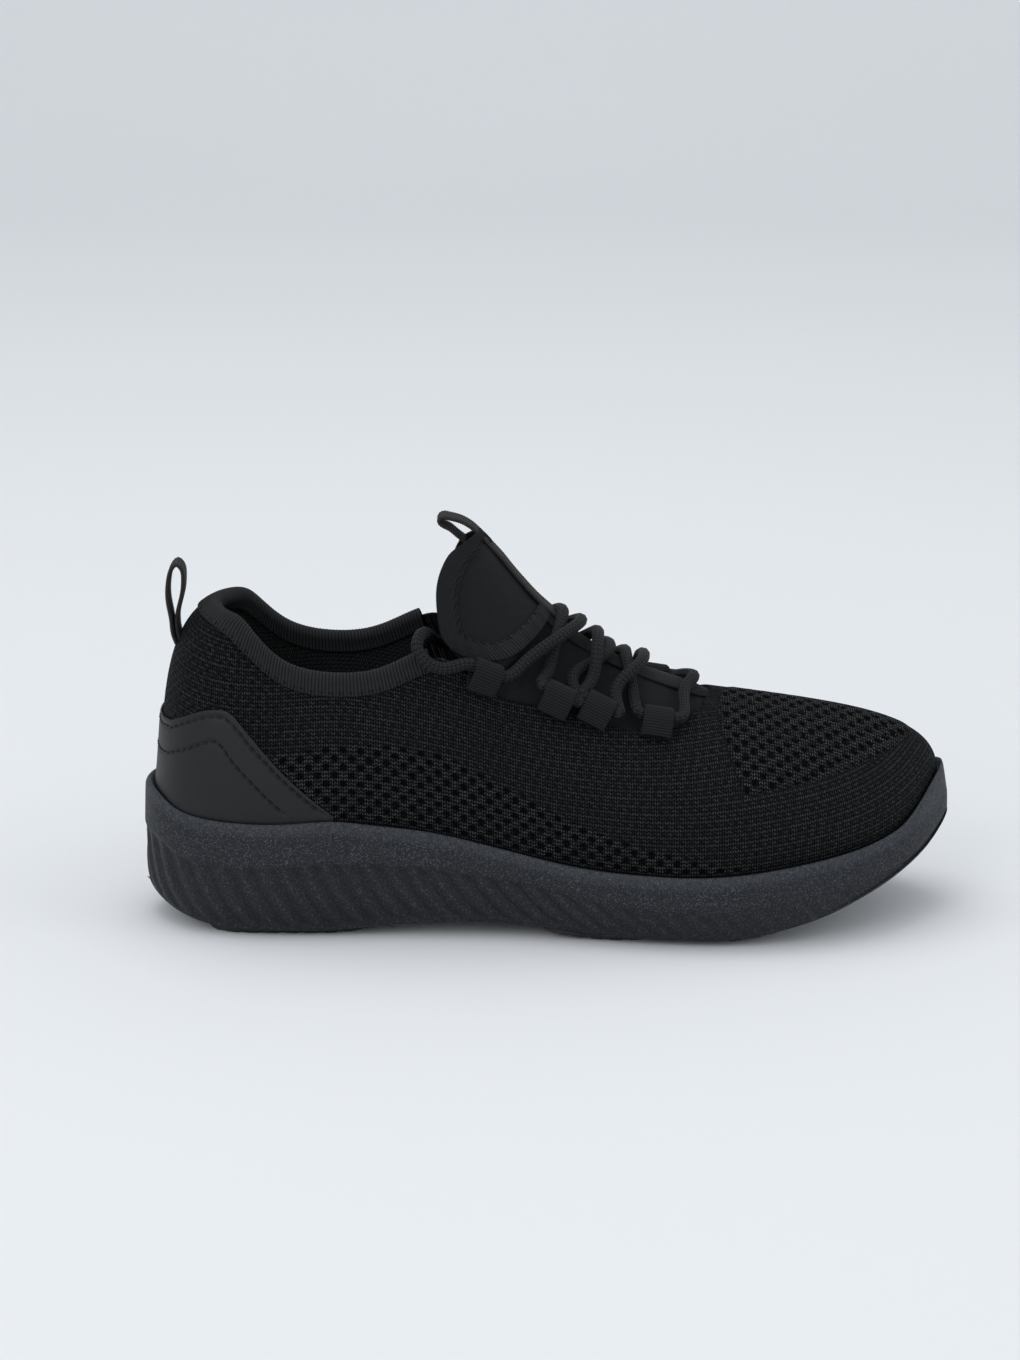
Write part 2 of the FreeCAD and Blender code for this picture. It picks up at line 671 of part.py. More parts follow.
def make_toe_puff(doc, sheet, upper):
    start = sheet.knit_thickness + sheet.fit_gap

    def place(u, v, side):
        return upper.point(u, v, start + side * sheet.toe_puff_thickness)
    stations = spread(TOE_STATION - 2.4, TOE_STATION + 2.4, 21)
    return add_feature(doc, "toe_puff", block(place, stations, spread(0.02, 0.36, 7)))


def make_collar_foam(doc, sheet, upper):
    start = sheet.knit_thickness + sheet.fit_gap

    def place(u, v, side):
        inner = lining_depth(sheet, v) - sheet.fit_gap
        return upper.point(u, v, start if side == 0 else inner)
    return add_feature(doc, "collar_foam", block(place, wall_stations(5.5), wall_levels(8, 16)))


def make_collar_lining(doc, sheet, upper):
    def place(u, v, side):
        return upper.point(u, v, lining_depth(sheet, v) + side * sheet.lining_thickness)
    return add_feature(doc, "collar_lining", block(place, wall_stations(5.5), wall_levels(1, 16)))


def make_collar_binding(doc, sheet, upper):
    """A ribbed tape folded over the topline, with one leg outside and one inside."""
    inner_leg = lining_depth(sheet, 1.0) + sheet.lining_thickness + sheet.fit_gap
    outer_leg = -sheet.fit_gap
    middle = (inner_leg + outer_leg) / 2
    radius = (inner_leg - outer_leg) / 2

    def place(u, q, side):
        grow = sheet.binding_thickness * (1 - side)
        rise = (upper.skin(u, 1.0) - upper.skin(u, 0.97)).normalize()
        out = upper.normal(u, 0.98)
        length = (upper.skin(u, 1.0) - upper.skin(u, 0.9)).Length
        leg = sheet.binding_width / length * 0.1
        if q < 1:
            return upper.point(u, 1 - leg * (1 - q), outer_leg - grow)
        if q > 2:
            v = 1 - leg * 0.8 * (q - 2)
            swell = lining_depth(sheet, v) - lining_depth(sheet, 1.0)
            return upper.point(u, v, inner_leg + swell + grow)
        angle = math.pi * (q - 1)
        arm = out * math.cos(angle) + rise * math.sin(angle)
        return upper.point(u, 1.0, middle) + arm * (radius + grow)
    turns = spread(0, 1, 6) + spread(1, 2, 7)[1:-1] + spread(2, 3, 6)
    return add_feature(doc, "collar_binding", block(place, spread(-5.6, 5.6, 57), turns))


def strip_on(saddle, s, q, width, depth):
    """A point of a tape of constant width along a saddle's ridge: q runs from -1 to 1."""
    edges = saddle.curves[0].value(s), saddle.curves[3].value(s)
    half_span = (edges[1].y - edges[0].y) / 2
    return saddle.point(s, q * width / 2 / (1.3 * half_span), depth)


def make_instep(doc, sheet, panel):
    """The stretch panel under the laces and the tape down its ridge."""
    def place(s, w, side):
        return panel.point(s, w, side * sheet.panel_thickness)

    def tape_place(s, q, side):
        outside = sheet.fit_gap / 2 + sheet.tape_thickness * (1 - side)
        return strip_on(panel, s, q, sheet.tape_width, -outside)
    cloth = block(place, spread(0, 6, 19), spread(-1.15, 1.15, 31))
    tape = block(tape_place, spread(0.9, 5.95, 19), spread(-1, 1, 5))
    return [add_feature(doc, "instep_panel", cloth), add_feature(doc, "instep_tape", tape)]


def make_tongue(doc, sheet, tongue):
    """The tongue's shell, foam, lining, edge binding and tape."""
    shell = sheet.tongue_shell_thickness
    foam = shell + sheet.fit_gap + sheet.tongue_foam_thickness
    layers = [
        ("tongue_shell", 0.0, shell, 0.0, 5.0, 1.0),
        ("tongue_foam", shell + sheet.fit_gap, foam, 0.5, 4.7, 0.84),
        ("tongue_lining", foam + sheet.fit_gap, foam + sheet.fit_gap + sheet.tongue_lining_thickness,
         0.4, 4.9, 0.9),
    ]
    pieces = []
    for label, outer, inner, low, high, reach in layers:
        def place(s, w, side, outer=outer, inner=inner):
            return tongue.point(s, w, inner if side else outer)
        shape = block(place, spread(low, high, 15), spread(-reach, reach, 25))
        pieces.append(add_feature(doc, label, shape))

    def bound(s, w, side):
        return tongue.point(s, w, -(sheet.fit_gap / 2 + sheet.binding_thickness * (1 - side)))
    strips = [block(bound, spread(0.15, 4.25, 13), spread(-0.99, -0.8, 4)),
              block(bound, spread(0.15, 4.25, 13), spread(0.8, 0.99, 4)),
              block(bound, spread(4.35, 4.95, 4), spread(-0.99, 0.99, 15))]
    pieces.append(add_feature(doc, "tongue_binding", Part.makeCompound(strips)))

    def tape_place(s, q, side):
        outside = sheet.fit_gap / 2 + sheet.tape_thickness * (1 - side)
        return strip_on(tongue, s, q, sheet.tape_width, -outside)
    tape = block(tape_place, spread(0.1, 4.25, 13), spread(-1, 1, 5))
    pieces.append(add_feature(doc, "tongue_tape", tape))
    return pieces


def stadium(length, radius):
    """A long ring's outline about the sketch's Y axis, from its lower end at the origin."""
    low = Vector(0, radius, 0)
    high = Vector(0, length - radius, 0)
    up = Vector(0, 0, 1)
    return [
        Part.ArcOfCircle(Part.Circle(low, up, radius), math.pi, 2 * math.pi),
        Part.LineSegment(low + Vector(radius, 0, 0), high + Vector(radius, 0, 0)),
        Part.ArcOfCircle(Part.Circle(high, up, radius), 0, math.pi),
        Part.LineSegment(high - Vector(radius, 0, 0), low - Vector(radius, 0, 0)),
    ]


def make_pull_loop(doc, sheet, label, length, depth, place, lean):
    """A folded loop of webbing, seen as a long ring from the side."""
    body = doc.addObject("PartDesign::Body", label)
    wall = sheet.webbing_thickness
    ring = stadium(length, depth / 2)
    hole = [curve.copy() for curve in stadium(length - 2 * wall, depth / 2 - wall)]
    for curve in hole:
        curve.translate(Vector(0, wall, 0))
    sketch = add_sketch(body, "XZ_Plane", label + "_profile", ring + hole)
    add_pad(body, sketch, label + "_pad", "webbing_width", symmetric=True)
    body.Placement = FreeCAD.Placement(place, FreeCAD.Rotation(Vector(0, 1, 0), lean))
    return body


def make_lace_tab(doc, sheet):
    """One lace loop at the origin: the lace runs along X through it, and its tail runs to -Z."""
    body = doc.addObject("PartDesign::Body", "lace_tab")
    hole = sheet.lace_hole_diameter / 2
    wall = sheet.webbing_thickness
    up = Vector(0, 0, 1)
    ring = [Part.Circle(Vector(0, 0, 0), up, hole + wall), Part.Circle(Vector(0, 0, 0), up, hole)]
    ring_sketch = add_sketch(body, "YZ_Plane", "tab_ring", ring)
    add_pad(body, ring_sketch, "tab_ring_pad", "webbing_width", symmetric=True)
    doc.recompute()
    inner = -hole - wall * 0.2
    outer = inner + wall
    end = -sheet.tab_tail_length
    corners = [Vector(inner, end, 0), Vector(outer, end, 0), Vector(outer, 0, 0), Vector(inner, 0, 0)]
    tail = [Part.LineSegment(a, b) for a, b in zip(corners, corners[1:] + corners[:1])]
    tail_sketch = add_sketch(body, "YZ_Plane", "tab_tail", tail)
    add_pad(body, tail_sketch, "tab_tail_pad", "webbing_width", symmetric=True)
    doc.recompute()
    return body


def tab_frame(sheet, upper, loop):
    """Where a lace loop sits on the throat edge: its centre, and along, out and up."""
    station, turn = loop
    step = 0.05
    edge = upper.skin(station, 1.0)
    out = upper.normal(station, 0.98)
    tangent = upper.skin(station + step, 1.0) - upper.skin(station - step, 1.0)
    if tangent.x < 0:
        tangent = -tangent
    tangent = (tangent - out * tangent.dot(out)).normalize()
    side = out.cross(tangent)
    if side.z < 0:
        side = -side
    angle = math.radians(turn)
    along = tangent * math.cos(angle) + side * math.sin(angle)
    up = side * math.cos(angle) - tangent * math.sin(angle)
    rise = sheet.lace_hole_diameter / 2 + sheet.tab_clearance
    return edge + up * sheet.tab_rise + out * rise, along, out, up


def make_lace_tabs(doc, sheet, upper, label, loops):
    """Four loops as separate solids in one node."""
    master = doc.getObject("lace_tab").Shape
    copies = []
    for loop in loops:
        centre, along, out, up = tab_frame(sheet, upper, loop)
        matrix = FreeCAD.Matrix(along.x, out.x, up.x, centre.x, along.y, out.y, up.y, centre.y,
                                along.z, out.z, up.z, centre.z, 0, 0, 0, 1)
        copies.append(master.transformGeometry(matrix) if matrix.determinant() < 0
                      else master.transformed(matrix, True))
    return add_feature(doc, label, Part.makeCompound(copies))


def lace_crossing(panel, places, heights):
    """Way points of one strand over the panel, from the lateral to the medial side."""
    lateral, ridge, medial = places
    points = []
    for stop, height in zip(CROSSING_STOPS, heights):
        side = lateral if stop < 0 else medial
        s = ridge + (side - ridge) * abs(stop) / CROSSING_STOPS[-1]
        points.append(panel.point(min(s, panel.last), stop, -height))
    return points


def through_tab(sheet, upper, loop):
    """Way points of the lace through one loop, towards the toe."""
    centre, along, _, _ = tab_frame(sheet, upper, loop)
    return [centre + along * step for step in spread(-STRAIGHT_REACH, STRAIGHT_REACH, 5)]


def make_lace(doc, sheet, upper, panel):
    """One cord: behind the tongue, zigzag to the front, across, and zigzag back."""
    lateral = [through_tab(sheet, upper, loop) for loop in LATERAL_LOOPS]
    medial = [through_tab(sheet, upper, loop) for loop in MEDIAL_LOOPS]
    above = [lace_crossing(panel, places, UPPER_HEIGHTS) for places in UPPER_STRANDS]
    below = [lace_crossing(panel, places, LOWER_HEIGHTS) for places in LOWER_STRANDS]
    points = [Vector(*place) for place in LATERAL_LACE_END]
    points += lateral[3] + above[2] + medial[2] + above[1][::-1] + lateral[1] + above[0] + medial[0]
    points += [panel.point(s, w, -height) for s, w, height in LACE_FRONT]
    points += lateral[0][::-1] + below[0] + medial[1][::-1] + below[1][::-1]
    points += lateral[2][::-1] + below[2] + medial[3][::-1]
    points += [Vector(*place) for place in reversed(MEDIAL_LACE_END)]
    return add_feature(doc, "lace", cord(points, sheet.lace_diameter))


def write_parts(doc, pieces):
    """Checks every object and writes each piece under its label."""
    for item in doc.Objects:
        if "Invalid" in item.State or "Error" in item.State:
            raise RuntimeError(f"{item.Label} failed: {item.State}")
    os.makedirs("parts", exist_ok=True)
    for piece in pieces:
        shape = piece.Shape
        if shape.isNull() or not shape.isValid() or shape.Volume <= 0:
            raise RuntimeError(f"{piece.Label} is not a valid solid")
        shape.exportStep(os.path.join("parts", piece.Label + ".step"))


def main():
    doc = FreeCAD.newDocument("running_shoe")
    sheet = make_sheet(doc)
    upper = Upper(sheet.fit_gap)
    panel = instep_saddle(upper, sheet.knit_thickness + 2 * sheet.fit_gap)
    tongue = tongue_saddle()
    pieces = make_midsole(doc, sheet, upper)
    lift = sheet.fit_gap
    for name, alias in (("strobel_board", "board_thickness"), ("sockliner_foam", "insole_thickness"),
                        ("sockliner_cover", "insole_cover_thickness")):
        pieces.append(make_insole_layer(doc, sheet, upper, name, alias, lift))
        lift += getattr(sheet, alias) + sheet.insole_gap
    pieces += make_tread(doc, sheet)
    for make in (make_knit_upper, make_heel_overlay, make_overlay_stitching, make_heel_counter,
                 make_toe_puff, make_collar_foam, make_collar_lining, make_collar_binding):
        pieces.append(make(doc, sheet, upper))
    pieces += make_instep(doc, sheet, panel)
    pieces += make_tongue(doc, sheet, tongue)
    pieces.append(make_pull_loop(doc, sheet, "heel_pull_loop", sheet.heel_loop_length,
                                 sheet.heel_loop_depth, HEEL_LOOP_PLACE, HEEL_LOOP_LEAN))
    pieces.append(make_pull_loop(doc, sheet, "tongue_pull_loop", sheet.tongue_loop_length,
                                 sheet.tongue_loop_depth, TONGUE_LOOP_PLACE, TONGUE_LOOP_LEAN))
    make_lace_tab(doc, sheet)
    pieces.append(make_lace_tabs(doc, sheet, upper, "lace_loops_lateral", LATERAL_LOOPS))
    pieces.append(make_lace_tabs(doc, sheet, upper, "lace_loops_medial", MEDIAL_LOOPS))
    pieces.append(make_lace(doc, sheet, upper, panel))
    doc.recompute()
    write_parts(doc, pieces)


main()
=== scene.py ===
import math

import bmesh
import bpy
import numpy as np
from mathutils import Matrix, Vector


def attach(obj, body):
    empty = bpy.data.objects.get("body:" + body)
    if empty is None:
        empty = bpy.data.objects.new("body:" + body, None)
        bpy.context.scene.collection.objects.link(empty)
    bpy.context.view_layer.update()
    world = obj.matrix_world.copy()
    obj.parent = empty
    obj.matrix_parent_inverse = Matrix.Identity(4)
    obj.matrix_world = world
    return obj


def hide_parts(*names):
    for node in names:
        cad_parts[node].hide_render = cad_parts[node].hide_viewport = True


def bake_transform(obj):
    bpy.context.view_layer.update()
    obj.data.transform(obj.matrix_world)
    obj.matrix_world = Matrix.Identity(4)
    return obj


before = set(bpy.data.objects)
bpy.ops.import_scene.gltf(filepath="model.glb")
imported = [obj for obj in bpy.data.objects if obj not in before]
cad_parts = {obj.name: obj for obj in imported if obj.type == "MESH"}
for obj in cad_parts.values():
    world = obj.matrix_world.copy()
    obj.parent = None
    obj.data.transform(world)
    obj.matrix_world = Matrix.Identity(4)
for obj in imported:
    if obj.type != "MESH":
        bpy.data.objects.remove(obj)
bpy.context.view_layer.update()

# A right running shoe with a knit upper. Lengths here are millimetres in the CAD frame: X to the
# toe, Y to the medial side, Z up. make_mesh() turns them into metres.
MM = 0.001

FIT_GAP = 0.3
KNIT_THICKNESS = 1.6
OVERLAY_THICKNESS = 1.0
COUNTER_THICKNESS = 1.2
COLLAR_PADDING = 3.2
LINING_THICKNESS = 0.8
BINDING_THICKNESS = 0.8
BINDING_WIDTH = 5.4
BINDING_REACH = 5.75
LINING_REACH = 5.55
RIB_PITCH = 1.25
BORDER_WIDTH = 7.0
PANEL_THICKNESS = 1.2
TONGUE_THICKNESS = 5.6
PAD_VOXEL = 2.2
PAD_PRESSURE = 4.0
PAD_SWELL = 0.7
TAPE_THICKNESS = 0.8
TAPE_WIDTH = 10.0
INSTEP_TAPE_WIDTH = 14.0
WEBBING_THICKNESS = 1.3
TAB_THICKNESS = 1.0
WEBBING_WIDTH = 11.0
WEBBING_STEP = 0.22
TAB_RIB_PITCH = 1.0
LOOP_RIB_PITCH = 0.9
LACE_DIAMETER = 4.5
LACE_STEP = 0.55
LACE_RIBS = 9
THREAD_DIAMETER = 0.7
STITCH_LENGTH = 2.5
STITCH_GAP = 0.9
STITCH_RISE = 0.12
STITCH_SINK = 0.22
INSOLE_LIFT = 0.3
INSOLE_THICKNESS = 6.2
PAD_THICKNESS = 2.4
LUG_WIDTH = 3.6
LUG_DEPTH = 1.25
CUP_GAP = 0.9

SOLE_OUTLINE = [
    (-149, 0), (-145.5, -14), (-136, -27), (-118, -36.5), (-90, -39.5), (-55, -38.5), (-20, -39),
    (0, -42), (30, -48), (60, -51), (85, -48.5), (105, -42), (122, -32), (136, -18), (145, -3),
    (149.5, 10), (144.5, 24), (132, 37), (115, 46), (98, 50), (78, 50.7), (56, 45), (30, 36),
    (0, 30), (-30, 31), (-60, 35), (-90, 37), (-118, 35), (-136, 26), (-145.5, 13.5),
]
RIM = [
    (-165, 52), (-150, 51.6), (-142, 50.3), (-137, 47.8), (-130, 45.8), (-117, 44.7), (-94, 44.7),
    (-77, 45.6), (-65, 44.3), (-44, 41.6), (-23, 36.9), (0, 31.7), (17, 29.2), (34, 28.3),
    (51, 28), (68, 28.8), (85, 30.7), (102, 33), (119, 36.2), (130, 39.8), (138, 43.8),
    (145, 48.6), (150, 52.2), (165, 59),
]
FOOTBED = [
    (-165, 31), (-140, 30), (-100, 27), (-50, 26), (0, 20), (50, 15), (85, 17.5), (115, 25),
    (140, 36), (165, 48),
]
UNDERSIDE = [
    (-165, 26), (-150, 13), (-140, 7.5), (-128, 3.9), (-114, 2.35), (-96, 2.2), (-80, 2.3),
    (-62, 4), (-44, 6), (-20, 5.6), (5, 4.3), (20, 2.6), (34, 2.25), (48, 2.2), (62, 2.3),
    (74, 3.6), (85, 6.2), (102, 11.2), (114, 16), (125, 20.5), (136, 25.5), (144, 30), (150, 35),
    (165, 48),
]
SIDE_INSETS = [(-20, 15.0), (0, 7.0), (10.8, 1.5), (24, 0.0), (60, 1.2)]
WALL_STATIONS = [
    ((-143.5, 0), (-140.5, 0, 71), (-142.3, 0, 109.5), (-122.6, 0, 118.6)),
    ((-138, -20), (-136, -20.5, 71), (-136, -18.5, 108), (-118.6, -14.5, 117.8)),
    ((-122, -31.5), (-122.5, -33.5, 70), (-119, -28.5, 98), (-110.5, -23.5, 113.8)),
    ((-100, -35.5), (-100, -37.5, 66), (-98, -32.5, 87), (-96, -29, 100.8)),
    ((-76, -35.5), (-76, -37.5, 64), (-76, -33.5, 83), (-76, -31, 96.2)),
    ((-50, -34.5), (-50, -37, 62), (-53, -34.5, 83.5), (-57, -31, 99.2)),
    ((-24, -35), (-25, -38, 58), (-31, -35, 82), (-38, -30, 105)),
    ((0, -38), (-1, -42, 53), (-13, -35, 77), (-21, -29, 92)),
    ((24, -42.5), (24, -46.5, 48), (8, -37, 70), (0, -27.5, 86)),
    ((48, -46.5), (49, -50, 46), (30, -38, 66), (20, -27, 80)),
    ((72, -46), (74, -50, 46), (50, -37, 66), (38, -25, 75.5)),
    ((94, -41.5), (97, -45.5, 50), (70, -32, 70), (50, -17, 78.5)),
    ((114, -33), (118, -36, 55), (84, -22, 74), (56, -8, 82.5)),
    ((130, -20), (134, -21, 62), (95, -12, 76), (58, -1, 84.2)),
    ((140.5, -4), (144, -4, 69), (105, -3, 76.5), (58.5, 2, 84.6)),
    ((144.5, 11), (147.5, 12, 72), (112, 7, 76.5), (58.3, 5, 84.6)),
    ((136, 27), (140, 30, 66), (104, 17, 75.5), (57.5, 9, 84)),
    ((120, 38.5), (123, 42.5, 58), (90, 28, 72), (54, 15, 82)),
    ((100, 45), (102, 49, 52), (74, 36, 68), (45, 24, 78.5)),
    ((78, 46), (79, 50, 49), (54, 41, 68), (28, 28.5, 80.5)),
    ((54, 41.5), (54, 45, 50), (32, 40, 70), (8, 30, 86)),
    ((30, 32.5), (30, 36.5, 54), (10, 36.5, 76), (-12, 30.5, 91)),
    ((4, 26.5), (3, 31, 58), (-14, 34, 82), (-31, 30.5, 100)),
    ((-22, 26.5), (-23, 31, 61), (-34, 34, 84), (-43, 30.5, 106)),
    ((-48, 29), (-49, 33, 63), (-55, 34.5, 83.5), (-60, 31, 99.3)),
    ((-74, 32), (-75, 35.5, 65), (-77, 33.5, 83), (-78, 31, 96.4)),
    ((-100, 33.5), (-100, 36, 67), (-98.5, 32, 88), (-97, 29, 101.4)),
    ((-122, 31), (-122.5, 33, 70), (-119, 28, 98), (-110.5, 23.5, 113.8)),
    ((-138, 20), (-136, 20.5, 71), (-136, 18.5, 108), (-118.6, 14.5, 117.8)),
]
STATIONS = len(WALL_STATIONS)
PANEL_SECTIONS = [
    (13.0, 15.9, 60, 82.0), (11.6, 17.1, 52, 85.8), (10.3, 18.2, 40, 89.8), (9.3, 19.1, 28, 94.4),
    (8.4, 20.0, 17, 100.2), (7.6, 20.85, 7, 107.6), (6.8, 21.65, -1, 115.6),
]
TONGUE_SECTIONS = [
    ((-31, -26.5, 100), -3.5, 118.6), ((-38, -25.5, 109), -7, 123.2),
    ((-40.5, -23.5, 119), -12, 129.3), ((-40.5, -21, 129), -17, 135.6),
    ((-37.5, -17, 137.5), -21.5, 140.8), ((-33, -11.5, 142.5), -25.5, 144.6),
]
RIDGE_Y = 3.0
TONGUE_MIRROR_Y = -1.2
TONGUE_MEDIAL_SHIFT = 5.0

# Lace loops, front to back, as the wall station and the turn from the edge in degrees.
LATERAL_LOOPS = [(10.05, -20), (8.8, -11), (8.1, -14), (6.8, 20)]
MEDIAL_LOOPS = [(18.35, 0), (19.5, 0), (20.3, 0), (21.5, 0)]
TAB_RISE = 4.4
TAB_REACH = 4.3
STRAIGHT_REACH = 7

# Lace strands over the panel: by the lateral loops, on the ridge and by the medial loops. Their
# heights over the panel are given at the stops, which run from the lateral to the medial side.
CROSSING_STOPS = (-0.62, -0.36, 0.0, 0.33, 0.62)
UPPER_HEIGHTS = (5.0, 8.4, 5.4, 3.6, 3.6)
LOWER_HEIGHTS = (3.6, 3.4, 3.3, 3.4, 3.6)
UPPER_STRANDS = [(3.1, 2.55, 2.45), (3.75, 4.15, 4.08), (5.4, 4.8, 4.75)]
LOWER_STRANDS = [(2.6, 3.05, 3.15), (4.1, 3.6, 3.72), (4.75, 5.45, 5.4)]
LACE_FRONT = [(1.25, 0.45, 3.3), (0.95, 0.0, 3.4), (1.25, -0.45, 3.3)]
LATERAL_LACE_END = [
    (-36, -8, 104), (-42.5, -17, 109), (-44, -23, 112.2), (-46.3, -29, 112), (-46.8, -32.5, 109.3),
    (-38, -34.3, 102.2),
]
MEDIAL_LACE_END = [(-36, 14, 105), (-38.5, 24, 109), (-37.3, 30, 108.9), (-33, 34, 106.3)]

# Centre lines of the two pull loops as (x, z), sewn end to sewn end.
HEEL_LOOP = [
    (-135.2, 103.0), (-136.5, 107.0), (-137.0, 112.0), (-137.9, 117.5), (-138.2, 122.0),
    (-137.7, 127.0), (-136.4, 131.0), (-134.6, 132.6), (-133.0, 131.2), (-132.3, 127.5),
    (-132.7, 122.5), (-133.9, 117.5), (-134.9, 112.5), (-134.7, 108.0), (-133.9, 104.0),
    (-133.2, 101.0),
]
TONGUE_BAND = [
    (-30.0, 140.6), (-33.0, 142.9), (-35.8, 145.2), (-38.4, 146.6), (-39.4, 148.0), (-38.4, 149.2),
    (-35.8, 149.1), (-32.6, 148.3), (-29.5, 146.9), (-26.4, 144.6), (-23.5, 141.6), (-20.0, 137.8),
    (-16.5, 133.9), (-13.0, 129.4), (-9.5, 125.2), (-6.0, 121.2), (-2.8, 117.9), (0.5, 114.9),
    (3.5, 112.0),
]


# ---------------------------------------------------------------------------- curves and surfaces
def open_spline(stops, values):
    """A smooth curve with the given values at the stops, natural at both ends."""
    stops = np.asarray(stops, float)
    values = np.asarray(values, float)
    count = len(stops)
    widths = np.diff(stops)
    matrix = np.eye(count)
    right = np.zeros(values.shape)
    slopes = (np.diff(values, axis=0).T / widths).T
    for i in range(1, count - 1):
        matrix[i, i - 1:i + 2] = widths[i - 1], 2 * (widths[i - 1] + widths[i]), widths[i]
        right[i] = 6 * (slopes[i] - slopes[i - 1])
    bends = np.linalg.solve(matrix, right)

    def value(t):
        t = np.asarray(t, float)
        i = np.clip(np.searchsorted(stops, t, side="right") - 1, 0, count - 2)
        width = widths[i]
        b = (t - stops[i]) / width
        if values.ndim > 1:
            b, width = b[..., None], width[..., None]
        a = 1 - b
        bend = (a**3 - a) * bends[i] + (b**3 - b) * bends[i + 1]
        return a * values[i] + b * values[i + 1] + bend * width**2 / 6
    return value


def closed_spline(points):
    """A smooth closed curve through points, with whole numbers as its parameters at them."""
    points = np.asarray(points, float)
    poles = points.copy()
    for _ in range(40):
        poles = (6 * points - np.roll(poles, 1, 0) - np.roll(poles, -1, 0)) / 4

    def value(t):
        t = np.mod(np.asarray(t, float), len(points))
        i = np.floor(t).astype(int)
        f = (t - i)[..., None]
        near = [poles[(i + step) % len(points)] for step in (-1, 0, 1, 2)]
        weights = [(1 - f)**3, 3 * f**3 - 6 * f**2 + 4, -3 * f**3 + 3 * f**2 + 3 * f + 1, f**3]
        return sum(w * p for w, p in zip(weights, near)) / 6
    return value


def side_profile(points):
    xs, zs = zip(*points)
    return open_spline(xs, zs)


rim_height = side_profile(RIM)
floor_height = side_profile(FOOTBED)
under_height = side_profile(UNDERSIDE)
side_inset = side_profile(SIDE_INSETS)


def unit(vectors):
    return vectors / np.linalg.norm(vectors, axis=-1, keepdims=True)


def smooth(low, high, value):
    t = np.clip((value - low) / (high - low), 0, 1)
    return t * t * (3 - 2 * t)


class Upper:
    """The wall of the upper: a skin between the midsole's edge and the opening."""

    def __init__(self):
        feet = [station[0] for station in WALL_STATIONS]
        rows = [[(x, y, floor_height(x) + FIT_GAP) for x, y in feet],
                [(x, y, rim_height(x)) for x, y in feet]]
        for row in (1, 2, 3):
            rows.append([station[row] for station in WALL_STATIONS])
        self.rows = [closed_spline(row) for row in rows]

    def skin(self, u, v):
        """v runs from -1 at the footbed through 0 at the rim to 1 at the opening."""
        u, v = np.broadcast_arrays(np.asarray(u, float), np.asarray(v, float))
        floor, rim, low, high, edge = [row(u) for row in self.rows]
        v = v[..., None]
        w = 1 - v
        wall = rim * w**3 + low * (3 * w * w * v) + high * (3 * w * v * v) + edge * v**3
        return np.where(v < 0, floor + (rim - floor) * (1 + v), wall)

    def normal(self, u, v):
        step = 0.02
        along = self.skin(u + step, v) - self.skin(u - step, v)
        up = self.skin(u, v + step) - self.skin(u, v - step)
        return unit(np.cross(along, up))

    def point(self, u, v, depth=0.0):
        depth = np.asarray(depth, float)[..., None]
        return self.skin(u, v) - self.normal(u, v) * depth


class Saddle:
    """A sheet that crosses the foot from a lateral edge over a ridge to a medial edge."""

    def __init__(self, sections):
        self.last = len(sections) - 1
        stops = np.arange(len(sections))
        self.curves = [open_spline(stops, np.array(column, float)) for column in zip(*sections)]

    def skin(self, s, w):
        s, w = np.broadcast_arrays(np.asarray(s, float), np.asarray(w, float))
        lateral, lateral_way, ridge, medial, medial_way = [curve(s) for curve in self.curves]
        near = (w < 0)[..., None]
        edge = np.where(near, lateral, medial)
        way = np.where(near, lateral_way, medial_way)
        t = (1 - np.abs(w))[..., None]
        over = np.zeros_like(edge)
        over[..., 1] = (ridge[..., 1] - edge[..., 1]) * 1.3
        arch = (edge * (2 * t**3 - 3 * t**2 + 1) + way * (t**3 - 2 * t**2 + t)
                + ridge * (3 * t**2 - 2 * t**3) + over * (t**3 - t**2))
        return np.where(t < 0, edge + way * (t * 0.4), arch)

    def point(self, s, w, depth=0.0):
        step = 0.02
        inside = np.clip(s, step, self.last - step)
        along = self.skin(inside + step, w) - self.skin(inside - step, w)
        across = self.skin(inside, np.asarray(w) + step) - self.skin(inside, np.asarray(w) - step)
        depth = np.asarray(depth, float)[..., None]
        return self.skin(s, w) - unit(np.cross(across, along)) * depth

    def half_span(self, s):
        return (self.curves[3](s)[..., 1] - self.curves[0](s)[..., 1]) / 2


upper = Upper()


def instep_saddle(depth):
    """The instep panel's sheet, whose edges lie against the inside of the knit."""
    sections = []
    for lateral_station, medial_station, x, z in PANEL_SECTIONS:
        row = []
        for station in (lateral_station, medial_station):
            edge = upper.point(station, 0.99, depth)
            row += [edge, unit(edge - upper.point(station, 0.89, depth)) * 22]
        sections.append((row[0], row[1], (x, RIDGE_Y, z), row[2], row[3]))
    return Saddle(sections)


def tongue_saddle():
    sections = []
    for (x, y, z), ridge_x, ridge_z in TONGUE_SECTIONS:
        forward = ((ridge_x - x) * 1.5, 0, (ridge_z - z) * 1.5)
        medial = (x + TONGUE_MEDIAL_SHIFT, 2 * TONGUE_MIRROR_Y - y, z)
        sections.append(((x, y, z), forward, (ridge_x, RIDGE_Y, ridge_z), medial, forward))
    return Saddle(sections)


panel = instep_saddle(KNIT_THICKNESS + 2 * FIT_GAP)
tongue = tongue_saddle()


